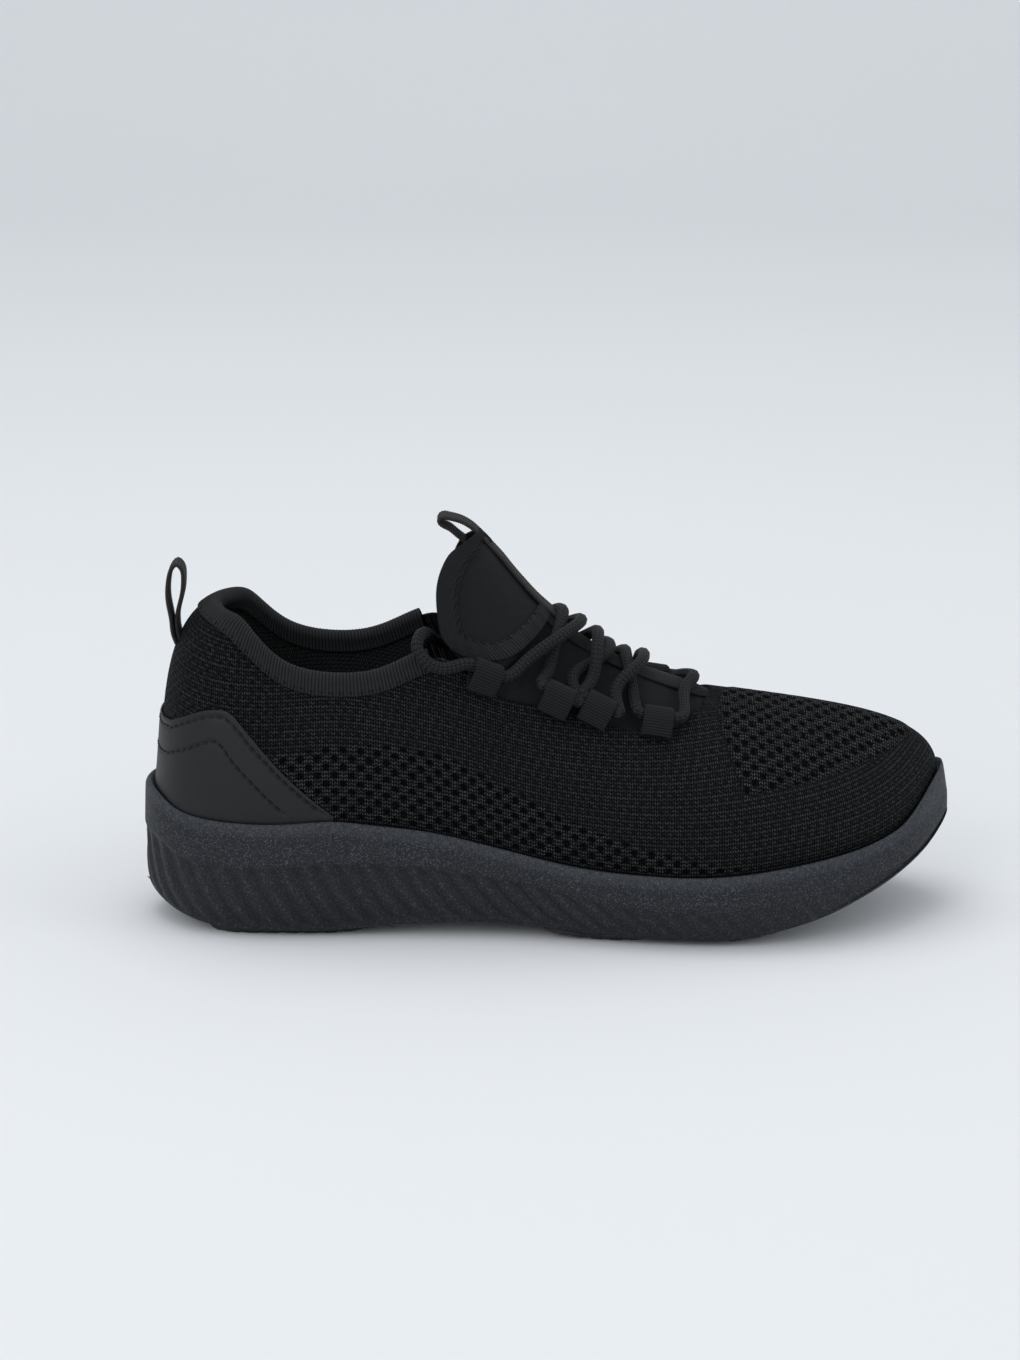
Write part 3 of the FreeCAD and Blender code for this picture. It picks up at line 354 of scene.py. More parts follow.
# ------------------------------------------------------------------------------------ mesh making
def make_mesh(name, points, faces, material, fields=None):
    """A smooth-shaded object from points in millimetres. Fields are extra values at the points."""
    mesh = bpy.data.meshes.new(name)
    faces = [np.asarray(block, int) for block in faces]
    loops = np.concatenate([block.ravel() for block in faces])
    sizes = np.concatenate([np.full(len(block), block.shape[1]) for block in faces])
    mesh.vertices.add(len(points))
    mesh.vertices.foreach_set("co", (np.asarray(points) * MM).astype(np.float32).ravel())
    mesh.loops.add(len(loops))
    mesh.loops.foreach_set("vertex_index", loops)
    mesh.polygons.add(len(sizes))
    mesh.polygons.foreach_set("loop_start", np.concatenate([[0], np.cumsum(sizes)[:-1]]))
    mesh.update(calc_edges=True)
    mesh.validate()
    mesh.polygons.foreach_set("use_smooth", np.ones(len(mesh.polygons), bool))
    for field, values in (fields or {}).items():
        values = np.asarray(values, np.float32)
        if values.ndim == 1:
            mesh.attributes.new(field, "FLOAT", "POINT").data.foreach_set("value", values)
        else:
            data = mesh.attributes.new(field, "FLOAT_VECTOR", "POINT").data
            data.foreach_set("vector", values.ravel())
    mesh.materials.append(material)
    piece = bpy.data.objects.new(name, mesh)
    bpy.context.scene.collection.objects.link(piece)
    return piece


def grid_faces(rows, columns, wrap_rows=False, wrap_columns=False, flip=False):
    """Quads of a rows x columns array of points."""
    row = np.arange(rows if wrap_rows else rows - 1)
    column = np.arange(columns if wrap_columns else columns - 1)
    r, c = [a.ravel() for a in np.meshgrid(row, column, indexing="ij")]
    r2, c2 = (r + 1) % rows, (c + 1) % columns
    quads = np.stack([r * columns + c, r2 * columns + c, r2 * columns + c2, r * columns + c2], 1)
    return quads[:, ::-1] if flip else quads


def flat(fields):
    return {name: value.reshape(-1, value.shape[-1]) if value.ndim > 2 else value.ravel()
            for name, value in fields.items()}


def coordinates(a, b):
    """Two lengths in millimetres as a vector field."""
    return np.stack([a, b, np.zeros_like(a)], -1)


def tube_faces(count, around, flip=False):
    """Faces of a tube of count rings, with its two caps."""
    first = np.arange(around)[None]
    last = first + (count - 1) * around
    caps = [first, last[:, ::-1]] if flip else [first[:, ::-1], last]
    return [grid_faces(count, around, False, True, flip)] + caps


def joined_tubes(tubes):
    """The points and faces of many tubes as one mesh."""
    faces, base = [], 0
    for tube in tubes:
        count, around = tube.shape[:2]
        faces += [block + base for block in tube_faces(count, around)]
        base += count * around
    return np.concatenate([tube.reshape(-1, 3) for tube in tubes]), faces


def tube_grid(name, points, material, fields, ring=False, flip=False):
    """Points[i, j] with j closed on itself. The ends in i are capped unless the piece is a ring."""
    count, around = points.shape[:2]
    faces = [grid_faces(count, around, True, True, flip)] if ring else tube_faces(count, around, flip)
    return make_mesh(name, points.reshape(-1, 3), faces, material, flat(fields))


def lengths_along(points):
    """The distance travelled along a line at each of its points."""
    steps = np.linalg.norm(np.diff(points, axis=0), axis=1)
    return np.concatenate([[0], np.cumsum(steps)])


def places_at(line, travelled, at):
    """The places of a line at given distances along it."""
    return np.column_stack([np.interp(at, travelled, line[:, k]) for k in range(3)])


def smooth_line(points, count):
    """Even places on a smooth curve through points."""
    stops = lengths_along(points)
    return open_spline(stops, points)(np.linspace(0, stops[-1], count))


def edge_distance(points, axis):
    """How far each point of a grid is from the nearer end of its line along an axis."""
    lengths = np.linalg.norm(np.diff(points, axis=axis), axis=-1)
    zero = np.zeros_like(np.take(lengths, [0], axis))
    travelled = np.concatenate([zero, np.cumsum(lengths, axis)], axis)
    total = np.take(travelled, [-1], axis)
    return np.minimum(travelled, total - travelled), travelled


def spread(first, last, count, crowd=0):
    """Even steps, with extra ones crowded at both ends for a rounded edge."""
    t = np.linspace(0, 1, count)
    if crowd:
        near = t[1] * (1 - np.cos(np.linspace(0, math.pi / 2, crowd + 2)))[1:-1]
        t = np.sort(np.concatenate([t, near, 1 - near]))
    return first + (last - first) * t


def sheet(name, place, us, vs, thickness, material, roll=None, relief=None):
    """A flexible sheet with rounded edges. place(u, v, depth) is its shape, and relief raises it."""
    u, v = np.meshgrid(us, vs, indexing="ij")
    base = place(u, v, np.zeros_like(u))
    roll = roll or thickness / 2
    share = np.ones_like(u)
    travelled = []
    for axis in (0, 1):
        distance, along = edge_distance(base, axis)
        t = np.clip(distance / roll, 0, 1)
        share *= np.sqrt(np.maximum(1 - (1 - t)**2, 0))
        travelled.append(along)
    half = thickness / 2 * share
    rise = relief(travelled[0], travelled[1], u, v) * share if relief else 0.0
    outer = place(u, v, thickness / 2 - half - rise)
    inner = place(u, v, thickness / 2 + half)
    rows, columns = u.shape
    count = rows * columns
    index = np.arange(count).reshape(rows, columns)
    back = index + count
    back[0], back[-1], back[:, 0], back[:, -1] = index[0], index[-1], index[:, 0], index[:, -1]
    quads = grid_faces(rows, columns)
    order = back.ravel()[quads[:, ::-1]]
    points = np.concatenate([outer.reshape(-1, 3), inner.reshape(-1, 3)])
    used = np.unique(np.concatenate([quads.ravel(), order.ravel()]))
    renumber = np.full(len(points), -1)
    renumber[used] = np.arange(len(used))
    weave = coordinates(*travelled).reshape(-1, 3)
    fields = {"weave": np.concatenate([weave, weave])[used]}
    return make_mesh(name, points[used], [renumber[quads], renumber[order]], material, fields)


# -------------------------------------------------------------------------------------- materials
class Shader:
    """A short way to write a node material."""

    def __init__(self, name):
        self.material = bpy.data.materials.new(name)
        self.material.use_nodes = True
        self.tree = self.material.node_tree
        self.surface = self.tree.nodes["Principled BSDF"]

    def node(self, kind, **settings):
        node = self.tree.nodes.new(kind)
        for key, value in settings.items():
            setattr(node, key, value)
        return node

    def plug(self, value, socket):
        if isinstance(value, bpy.types.NodeSocket):
            self.tree.links.new(value, socket)
        else:
            socket.default_value = value

    def math(self, operation, *values):
        node = self.node("ShaderNodeMath", operation=operation)
        for value, socket in zip(values, node.inputs):
            self.plug(value, socket)
        return node.outputs[0]

    def times(self, first, second):
        return self.math("MULTIPLY", first, second)

    def plus(self, first, second):
        return self.math("ADD", first, second)

    def minus(self, first, second):
        return self.math("SUBTRACT", first, second)

    def field(self, name, vector=False):
        node = self.node("ShaderNodeAttribute", attribute_name=name)
        return node.outputs["Vector" if vector else "Fac"]

    def split(self, vector):
        node = self.node("ShaderNodeSeparateXYZ")
        self.plug(vector, node.inputs[0])
        return node.outputs[:3]

    def weave(self):
        """The two coordinates of the piece's own weave, in millimetres."""
        return self.split(self.field("weave", vector=True))[:2]

    def place(self):
        """The point's place in the object, in millimetres."""
        node = self.node("ShaderNodeVectorMath", operation="SCALE")
        self.plug(self.node("ShaderNodeTexCoord").outputs["Object"], node.inputs[0])
        node.inputs["Scale"].default_value = 1 / MM
        return node.outputs[0]

    def noise(self, size, detail=2.0, vector=None):
        """Noise whose grains are about size millimetres wide."""
        node = self.node("ShaderNodeTexNoise")
        self.plug(vector or self.place(), node.inputs["Vector"])
        node.inputs["Scale"].default_value = 1 / size
        node.inputs["Detail"].default_value = detail
        return node.outputs["Fac"]

    def ramp(self, value, low, high):
        node = self.node("ShaderNodeMapRange", interpolation_type="SMOOTHSTEP")
        self.plug(value, node.inputs["Value"])
        node.inputs["From Min"].default_value = low
        node.inputs["From Max"].default_value = high
        return node.outputs["Result"]

    def mix(self, share, first, second):
        node = self.node("ShaderNodeMix", data_type="RGBA")
        self.plug(share, node.inputs[0])
        for colour, socket in ((first, node.inputs[6]), (second, node.inputs[7])):
            self.plug(colour if isinstance(colour, bpy.types.NodeSocket) else (*colour, 1), socket)
        return node.outputs[2]

    def wave(self, value, pitch):
        """A ridge from 0 to 1 and back every pitch millimetres."""
        return self.math("ABSOLUTE", self.math("SINE", self.times(value, math.pi / pitch)))

    def finish(self, colour, roughness, height=None, depth=0.1, sheen=0.0, specular=0.4):
        """Sets the surface. Height is a relief from 0 to 1, and depth its size in millimetres."""
        surface = self.surface
        self.plug(colour, surface.inputs["Base Color"])
        self.plug(roughness, surface.inputs["Roughness"])
        surface.inputs["Specular IOR Level"].default_value = specular
        surface.inputs["Sheen Weight"].default_value = sheen
        surface.inputs["Sheen Roughness"].default_value = 0.5
        if height is not None:
            bump = self.node("ShaderNodeBump")
            bump.inputs["Distance"].default_value = depth * MM
            self.plug(height, bump.inputs["Height"])
            self.plug(bump.outputs[0], surface.inputs["Normal"])
        return self.material


def stitches(shader, across, along, wale, course):
    """The height of plain knit: columns of V-shaped stitches."""
    column = shader.math("FRACT", shader.math("DIVIDE", across, wale))
    fold = shader.times(shader.math("ABSOLUTE", shader.minus(column, 0.5)), 2.0)
    slanted = shader.plus(shader.math("DIVIDE", along, course), shader.times(fold, 0.7))
    loop = shader.math("SINE", shader.times(shader.math("FRACT", slanted), math.pi))
    leg = shader.minus(fold, 0.5)
    leg = shader.minus(1.0, shader.times(shader.times(leg, leg), 3.6))
    return shader.times(loop, leg)


# The width and height of the knit's stitches.
WALE = 1.8
COURSE = 1.4


def knit_material():
    """Black knit with painted highlights on its raised stitches and painted shade in the gaps between them.
    Holes and dots come with the mesh and are painted dark as shade.
    """
    shader = Shader("knit")
    across, along = shader.weave()
    height = stitches(shader, across, along, WALE, COURSE)
    rows = shader.times(shader.wave(along, 2 * COURSE), shader.wave(shader.plus(across, along), 2 * WALE))
    open_knit = shader.field("open")
    pit = shader.field("pit")
    fuzz = shader.noise(0.5, 2.0)
    shade = shader.noise(22.0, 2.0)
    grain = shader.ramp(shader.noise(1.5, 1.0), 0.35, 0.65)
    yarn = shader.mix(shade, (0.0370, 0.0410, 0.0435), (0.0500, 0.0550, 0.0580))
    bright = shader.mix(shader.times(open_knit, fuzz), yarn, (0.088, 0.096, 0.100))
    bright = shader.mix(shader.times(grain, 0.7), bright, (0.0060, 0.0067, 0.0072))
    # Painted light: raised stitches are painted bright as highlights, and the gaps between them near black
    # as shade.
    stitch_painted_light = shader.mix(shader.ramp(height, 0.45, 0.95), (0.0001, 0.0002, 0.0003), bright)
    tuck = shader.times(shader.ramp(rows, 0.62, 0.80), shader.minus(1.0, open_knit))
    colour = shader.mix(shader.times(tuck, 0.8), stitch_painted_light, (0.0003, 0.0003, 0.0004))
    # Painted shade: the holes and dots are painted near black.
    colour = shader.mix(pit, colour, (0.0001, 0.0001, 0.0001))
    relief = shader.plus(height, shader.times(fuzz, 0.4))
    return shader.finish(colour, 0.78, relief, 0.45, specular=0.12)


def foam_material():
    """Moulded foam: dark slate with fine pale specks in its skin, a painted highlight on the rim and
    painted shade in the grooves.
    """
    shader = Shader("speckled_foam")
    grain = shader.noise(0.55, 1.0)
    coarse = shader.noise(1.3, 2.0)
    cloud = shader.noise(30.0, 2.0)
    rim = shader.field("rim")
    base = shader.mix(cloud, (0.0062, 0.0072, 0.0104), (0.0084, 0.0097, 0.0134))
    # Painted highlight: the rim and the lip into the cup, which face the light, are painted lighter.
    base = shader.mix(shader.times(rim, 0.7), base, (0.028, 0.031, 0.038))
    specks = shader.ramp(grain, 0.50, 0.72)
    colour = shader.mix(shader.times(specks, 0.6), base, (0.080, 0.090, 0.106))
    dark = shader.ramp(coarse, 0.52, 0.66)
    colour = shader.mix(shader.times(dark, 0.5), colour, (0.004, 0.005, 0.008))
    # Painted shade: the grooves of the ridged side are painted darker.
    painted_groove_shade = shader.ramp(shader.field("relief"), 0.15, 1.3)
    colour = shader.mix(shader.times(painted_groove_shade, 0.55), colour, (0.004, 0.0046, 0.0065))
    rough = shader.plus(0.52, shader.times(coarse, 0.22))
    return shader.finish(colour, rough, shader.plus(grain, coarse), 0.10, specular=0.3)


def rubber_material():
    shader = Shader("tread_rubber")
    grain = shader.noise(0.5, 3.0)
    wear = shader.noise(9.0, 3.0)
    colour = shader.mix(shader.ramp(wear, 0.4, 0.75), (0.008, 0.008, 0.010), (0.020, 0.020, 0.022))
    return shader.finish(colour, 0.66, grain, 0.08, specular=0.4)


def leather_material():
    """Coated leather with a fine even grain."""
    shader = Shader("coated_leather")
    cells = shader.node("ShaderNodeTexVoronoi", feature="SMOOTH_F1")
    shader.plug(shader.place(), cells.inputs["Vector"])
    cells.inputs["Scale"].default_value = 1 / 0.55
    broad = shader.noise(14.0, 2.0)
    fine = shader.noise(0.3, 2.0)
    colour = shader.mix(broad, (0.0038, 0.0045, 0.0055), (0.0056, 0.0065, 0.0077))
    rough = shader.plus(0.46, shader.times(fine, 0.14))
    return shader.finish(colour, rough, cells.outputs["Distance"], 0.07, specular=0.32)


def ribbed_material(name, pitch, dark, light, depth=0.16, axis=0):
    """Tape or binding with ribs square to one axis of its weave field."""
    shader = Shader(name)
    weave = shader.weave()
    rib = shader.wave(weave[axis], pitch)
    thread = shader.wave(weave[1 - axis], pitch * 0.45)
    fuzz = shader.noise(0.3, 3.0)
    height = shader.plus(rib, shader.times(thread, 0.3))
    height = shader.plus(height, shader.times(fuzz, 0.4))
    colour = shader.mix(shader.ramp(rib, 0.1, 0.9), dark, light)
    colour = shader.mix(shader.times(fuzz, 0.35), colour, dark)
    return shader.finish(colour, 0.75, height, depth, sheen=0.01, specular=0.2)


def jersey_material(name, dark, light, pitch=0.55, depth=0.12):
    """Smooth fine knit cloth, as on the tongue and inside the shoe."""
    shader = Shader(name)
    height = stitches(shader, *shader.weave(), pitch, pitch * 0.8)
    cloud = shader.noise(11.0, 3.0)
    colour = shader.mix(shader.ramp(height, 0.1, 0.9), dark, light)
    colour = shader.mix(shader.times(cloud, 0.5), colour, dark)
    return shader.finish(colour, 0.82, height, depth, sheen=0.01, specular=0.16)


def pad_material():
    """Brushed cloth on a remeshed pad, whose weave follows the space and not the mesh."""
    shader = Shader("tongue_cloth")
    grain = shader.noise(0.45, 3.0)
    cloud = shader.noise(12.0, 2.0)
    x, _, z = shader.split(shader.place())
    lines = shader.wave(shader.plus(z, shader.times(x, 0.6)), 0.7)
    height = shader.plus(grain, shader.times(lines, 0.6))
    colour = shader.mix(shader.ramp(height, 0.35, 1.2), (0.0020, 0.0024, 0.0029), (0.0072, 0.0082, 0.0094))
    colour = shader.mix(shader.times(cloud, 0.4), colour, (0.0034, 0.0040, 0.0046))
    return shader.finish(colour, 0.8, height, 0.12, sheen=0.02, specular=0.18)


def braid_material():
    """A round braided cord: rows of small slanted cells that run lengthwise."""
    shader = Shader("lace_braid")
    along, around = shader.weave()
    strand = stitches(shader, around, along, LACE_DIAMETER * math.pi / 7, 1.6)
    fuzz = shader.noise(0.3, 3.0)
    height = shader.plus(strand, shader.times(fuzz, 0.3))
    colour = shader.mix(shader.ramp(strand, 0.35, 0.9), (0.0003, 0.0004, 0.0005), (0.0170, 0.0190, 0.0205))
    return shader.finish(colour, 0.68, height, 0.25, sheen=0.01, specular=0.22)


def thread_material():
    shader = Shader("thread")
    twist = shader.noise(0.25, 2.0)
    colour = shader.mix(twist, (0.0004, 0.0004, 0.0005), (0.0016, 0.0017, 0.0019))
    return shader.finish(colour, 0.6, twist, 0.08, sheen=0.03, specular=0.3)


def board_material():
    """Pressed fibre of the hidden stiffeners."""
    shader = Shader("stiffener_board")
    fibre = shader.noise(0.8, 5.0)
    colour = shader.mix(fibre, (0.010, 0.010, 0.011), (0.034, 0.033, 0.032))
    return shader.finish(colour, 0.85, fibre, 0.15)


def floor_material():
    shader = Shader("studio_floor")
    cloud = shader.noise(400.0, 1.0)
    colour = shader.mix(cloud, (0.74, 0.755, 0.77), (0.755, 0.77, 0.785))
    return shader.finish(colour, 0.9, specular=0.1)


KNIT = knit_material()
FOAM = foam_material()
RUBBER = rubber_material()
LEATHER = leather_material()
BINDING = ribbed_material("collar_rib", RIB_PITCH, (0.0010, 0.0013, 0.0016), (0.0150, 0.0168, 0.0182))
WEBBING = ribbed_material(
    "grosgrain", TAB_RIB_PITCH, (0.0003, 0.0003, 0.0004), (0.0110, 0.0120, 0.0128), 0.25)
LOOP_WEBBING = ribbed_material(
    "pull_webbing", LOOP_RIB_PITCH, (0.0080, 0.0076, 0.0072), (0.0270, 0.0250, 0.0232))
TAPE = ribbed_material("instep_tape_rib", 0.8, (0.0040, 0.0042, 0.0045), (0.0165, 0.0172, 0.0180))
JERSEY = jersey_material("instep_jersey", (0.0040, 0.0045, 0.0050), (0.0230, 0.0252, 0.0270), 0.8)
LINING = jersey_material("lining_mesh", (0.0012, 0.0014, 0.0016), (0.0240, 0.0262, 0.0280), 1.9, 0.4)
PAD = pad_material()
BRAID = braid_material()
THREAD = thread_material()
BOARD = board_material()


# ------------------------------------------------------------------------------ bodies and baked transforms
def bend_at_ball(piece):
    """Bakes the piece's placement into its points."""
    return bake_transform(piece)


def bend_at_tongue(piece):
    """Bakes the piece's placement into its points."""
    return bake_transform(piece)


def finish_rigid(piece, body, slot, *nodes):
    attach(piece, body)
    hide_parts(*nodes)
    return piece


def finish_soft(piece, bend, slot, *nodes):
    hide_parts(*nodes)
    return bend(piece)


# ----------------------------------------------------------------------------------- the midsole
def outline_frame(count):
    """Points and inward directions along the sole's outline, and the distance from the heel."""
    curve = closed_spline(SOLE_OUTLINE)
    t = np.linspace(0, len(SOLE_OUTLINE), count, endpoint=False)
    points = curve(t)
    along = unit(curve(t + 0.01) - curve(t - 0.01))
    inwards = np.stack([-along[:, 1], along[:, 0]], 1)
    steps = np.linalg.norm(np.roll(points, -1, 0) - points, axis=1)
    travelled = np.concatenate([[0], np.cumsum(steps)[:-1]])
    return points, inwards, np.minimum(travelled, steps.sum() - travelled)


# The smooth band under the rim, and how deep the ridges below it are along the shoe.
BAND_HEIGHTS = side_profile([
    (-150, 16), (-100, 15), (-52, 13), (0, 9.5), (45, 11.5), (90, 11), (150, 14)])
RIDGE_DEPTHS = side_profile([
    (-160, 0.8), (-140, 1.2), (-100, 1.6), (-40, 1.6), (10, 1.1), (60, 0.7), (160, 0.5)])
RIDGE_PITCH = 8.6
BAND_STEP = 0.55
BOTTOM_RADIUS = 1.6
RIM_RADIUS = 3.2
LIP_RADIUS = 3.0
BUMPER_START, BUMPER_END = 128, 147
BUMPER_LIFT = 5.0
BUMPER_RADIUS = 10.5


def foam_relief(x, z, distance):
    """Slanted ridges below the smooth band: the depth of the grooves at each point."""
    below = rim_height(x) - BAND_HEIGHTS(x) - z
    above_ground = z - under_height(x)
    reach = smooth(0.0, 4.5, below) * smooth(0.5, 4.0, above_ground)
    slant = 0.55 + 0.5 * smooth(-120, 20, x)
    bow = 1.6 * np.sin(z / 9.0)
    phase = (distance + slant * z + bow) / RIDGE_PITCH
    ridge = np.abs(np.sin(math.pi * phase))**0.75
    second = np.abs(np.sin(math.pi * (phase * 2 + 0.35)))
    depth = RIDGE_DEPTHS(x)
    groove = depth * (1 - ridge) + 0.22 * depth * (1 - second)
    return reach * groove + BAND_STEP * smooth(0.0, 2.5, below) * smooth(-160, -150, x)


def middle_line(outline):
    """The middle between each point of a closed outline and the one across the foot."""
    count = len(outline)
    return (outline + outline[-np.arange(count) % count]) / 2


def foot_line(count, outwards):
    """The line where the upper's wall meets the footbed, moved outwards."""
    foot = closed_spline([station[0] for station in WALL_STATIONS])
    t = np.linspace(0, STATIONS, count, endpoint=False)
    along = unit(foot(t + 0.01) - foot(t - 0.01))
    return foot(t) + np.column_stack([along[:, 1], -along[:, 0]]) * outwards


def cup_lip(rim):
    """For each point of the rim, the nearest place beside the upper, evened out along the rim."""
    foot = foot_line(4000, CUP_GAP)
    lip = foot[[np.argmin(((foot - point)**2).sum(1)) for point in rim]]
    reach = 7
    window = np.ones(2 * reach + 1) / (2 * reach + 1)
    for axis in (0, 1):
        padded = np.concatenate([lip[-reach:, axis], lip[:, axis], lip[:reach, axis]])
        lip[:, axis] = np.convolve(padded, window, "valid")
    return lip


def make_midsole():
    """The foam unit: underside, sculpted side, rolled rim and the cup for the foot."""
    columns = 1180
    outline, inwards, distance = outline_frame(columns)
    spine = middle_line(outline)
    rows, groove_depths_for_shade, rim_highlight_shares = [], [], []

    def side_row(share, inset=0.0):
        plan = outline
        for _ in range(3):
            x = plan[:, 0]
            low, high = under_height(x), rim_height(x)
            z = low + (high - low) * share
            plan = outline + inwards * (side_inset(z) + inset)[:, None]
        return plan, z

    # Each row keeps its groove depth, which paints shade into the grooves, and its rim share, which paints
    # a highlight on the rim.
    def add(plan, z, groove=0.0, rim=0.0):
        rows.append(np.column_stack([plan, z]))
        groove_depths_for_shade.append(np.broadcast_to(groove, z.shape))
        rim_highlight_shares.append(np.broadcast_to(rim, z.shape))

    bottom_plan, _ = side_row(0.0, BOTTOM_RADIUS)
    for share in (1.0, 0.8, 0.6, 0.4, 0.2, 0.06, 0.0):
        plan = bottom_plan + (spine - bottom_plan) * share
        add(plan, under_height(plan[:, 0]))
    for angle in spread(0.15, 1.0, 5) * math.pi / 2:
        plan, z = side_row(0.0, BOTTOM_RADIUS * (1 - math.sin(angle)))
        add(plan, z + BOTTOM_RADIUS * (1 - math.cos(angle)))
    bumper = smooth(BUMPER_START, BUMPER_END, outline[:, 0])
    lift, roll = BUMPER_LIFT * bumper, RIM_RADIUS + BUMPER_RADIUS * bumper
    crown = 1 - (roll - lift) / (rim_height(outline[:, 0]) - under_height(outline[:, 0]))
    for share in np.linspace(0.05, 1.0, 92):
        plan, z = side_row(share * crown)
        groove = foam_relief(plan[:, 0], z, distance)
        near = rim_height(plan[:, 0]) - z
        add(plan + inwards * groove[:, None], z, groove, smooth(6.0, 2.5, near))
    top_plan, _ = side_row(crown)
    lip = cup_lip(top_plan)
    for angle in spread(0.08, 0.92, 13) * math.pi:
        share = (1 - math.cos(angle)) / 2
        plan = top_plan + (lip - top_plan) * (share**(1 - 0.55 * bumper))[:, None]
        drop = roll if share < 0.5 else LIP_RADIUS
        add(plan, rim_height(plan[:, 0]) + lift - drop * (1 - math.sin(angle)), 0.0, 1.0)
    lip_z = rim_height(lip[:, 0]) + lift
    base_z = floor_height(lip[:, 0])
    for share in (0.1, 0.35, 0.65, 0.92):
        add(lip, lip_z + (base_z - lip_z) * share)
    for share in (0.04, 0.2, 0.45, 0.7, 1.0):
        plan = lip + (spine - lip) * share
        add(plan, floor_height(plan[:, 0]))
    faces = [grid_faces(len(rows), columns, False, True, flip=True)]
    # The groove depths paint shade into the grooves, and the rim shares paint a highlight on the rim and
    # lip.
    fields = {"relief": np.concatenate(groove_depths_for_shade), "rim": np.concatenate(rim_highlight_shares)}
    piece = make_mesh("midsole", np.concatenate(rows), faces, FOAM, fields)
    weld(piece)
    return finish_soft(piece, bend_at_ball, "foam", "midsole_rear", "midsole_forefoot", "midsole_flex_zone")


def weld(piece):
    """Joins points that share a place."""
    work = bmesh.new()
    work.from_mesh(piece.data)
    bmesh.ops.remove_doubles(work, verts=work.verts, dist=0.02 * MM)
    work.to_mesh(piece.data)
    work.free()


def rounded_plan(x_low, x_high, y_low, y_high, skew=0.0):
    """A tread pad's outline as eight points, the same as the CAD pad's."""
    x_mid, y_mid = (x_low + x_high) / 2, (y_low + y_high) / 2
    x_half, y_half = (x_high - x_low) / 2, (y_high - y_low) / 2
    points = []
    for step in range(8):
        angle = math.pi * (step / 4 + 1)
        reach = 1.0 if step % 2 == 0 else 1.22
        y = y_half * reach * math.sin(angle)
        points.append((x_mid + x_half * reach * math.cos(angle) + skew * y, y_mid + y))
    return points


TREAD_PADS = [
    ("heel_pad_lateral", "rearfoot", (-124, -62, -29, -5)),
    ("heel_pad_medial", "rearfoot", (-124, -62, 5, 27)),
    ("arch_pad_lateral", "rearfoot", (-2, 40, -37, -6)),
    ("arch_pad_medial", "rearfoot", (10, 48, 4, 27)),
    ("ball_pad_lateral", "forefoot", (58, 88, -39, -7)),
    ("ball_pad_medial", "forefoot", (70, 98, 5, 38)),
    ("toe_pad", "forefoot", (104, 132, -14, 28, 0.25)),
]


def make_tread_pad(name, body, size):
    """A rubber pad with wavy lugs cut in its underside."""
    outline = closed_spline(rounded_plan(*size))(np.linspace(0, 8, 260, endpoint=False))
    centre = outline.mean(0)
    top, bottom = [], []
    for ring in np.concatenate([np.linspace(0.02, 0.93, 56), [0.96, 0.985, 1.0]]):
        plan = centre + (outline - centre) * ring
        x, y = plan.T
        base = under_height(x)
        wave = np.sin(math.pi * (x + 2.2 * np.sin(y / 3.4)) / LUG_WIDTH)
        groove = LUG_DEPTH * smooth(0.15, 0.55, wave) * smooth(1.0, 0.93, ring)
        edge = 0.7 * (1 - math.sqrt(max(0.0, 1 - max(0.0, (ring - 0.93) / 0.07)**2)))
        bottom.append(np.column_stack([plan, base - PAD_THICKNESS + groove + edge]))
        top.append(np.column_stack([plan, base - 0.06 + 0 * x]))
    piece = tube_grid(name, np.stack(bottom + top[::-1]), RUBBER, {})
    return finish_rigid(piece, body, "rubber", f"outsole_{name}")


# --------------------------------------------------------------------------------- the knit upper
# The heel overlay's top edge and its rows of stitches, as (station from the heel, share of the wall).
# The wall is about WALL_HEIGHT tall there, and the overlay starts a little below the rim.
WALL_HEIGHT = 68.0
SEAM_DEPTH = 0.35
OVERLAY_FOOT = -0.06
OVERLAY_EDGE = [
    (0.0, 0.362), (0.6, 0.366), (1.0, 0.384), (1.4, 0.440), (1.8, 0.508), (2.1, 0.548), (2.22, 0.556),
    (2.35, 0.545), (2.5, 0.513), (2.7, 0.463), (2.93, 0.392), (3.16, 0.312), (3.4, 0.228), (3.95, 0.028),
]
OUTER_SEAM = [
    (0.0, 0.330), (0.6, 0.334), (1.0, 0.352), (1.4, 0.408), (1.8, 0.475), (2.1, 0.512), (2.2, 0.513),
    (2.35, 0.495), (2.5, 0.462), (2.93, 0.343), (3.4, 0.183), (3.78, 0.050),
]
INNER_SEAM = [
    (0.0, 0.210), (0.6, 0.215), (0.95, 0.232), (1.5, 0.300), (1.95, 0.374), (2.08, 0.386), (2.2, 0.368),
    (2.36, 0.318), (2.74, 0.212), (3.2, 0.058),
]


def height_in(table, u):
    """The height that a table of stations and heights gives at a wall station."""
    stops, heights = np.array(table).T
    return np.interp(np.abs(u), stops, heights)


MESH_TOP = open_spline(
    [-92, -73, -54, -40, -28, -17, -3, 12, 34, 57, 72],
    [24.4, 27.2, 29.1, 28.6, 26.0, 23.0, 19.0, 14.4, 9.0, 3.7, 0.0])
VAMP_FLOOR = open_spline([60, 77, 94, 112, 131, 150], [53, 56, 58, 61, 65, 72])


# The marks in the knit: their pitch, the pitch of their rows, and their inner and outer radius.
HOLE_LATTICE = (6.2, 3.1, 0.95, 1.75)
DOT_LATTICE = (5.2, 1.75, 0.3, 0.95)
HOLE_DEPTH = 0.95
DOT_DEPTH = 0.3
OPEN_PUFF = 0.35


def lattice(a, b, pitch, row_pitch, low, high):
    """Staggered round marks: 1 at their middles and 0 beyond the radius high."""
    row = np.floor(b / row_pitch)
    da = (np.mod(a / pitch + 0.5 * np.mod(row, 2), 1) - 0.5) * pitch
    db = (np.mod(b / row_pitch, 1) - 0.5) * row_pitch
    return smooth(high, low, np.hypot(da, db * 1.1))


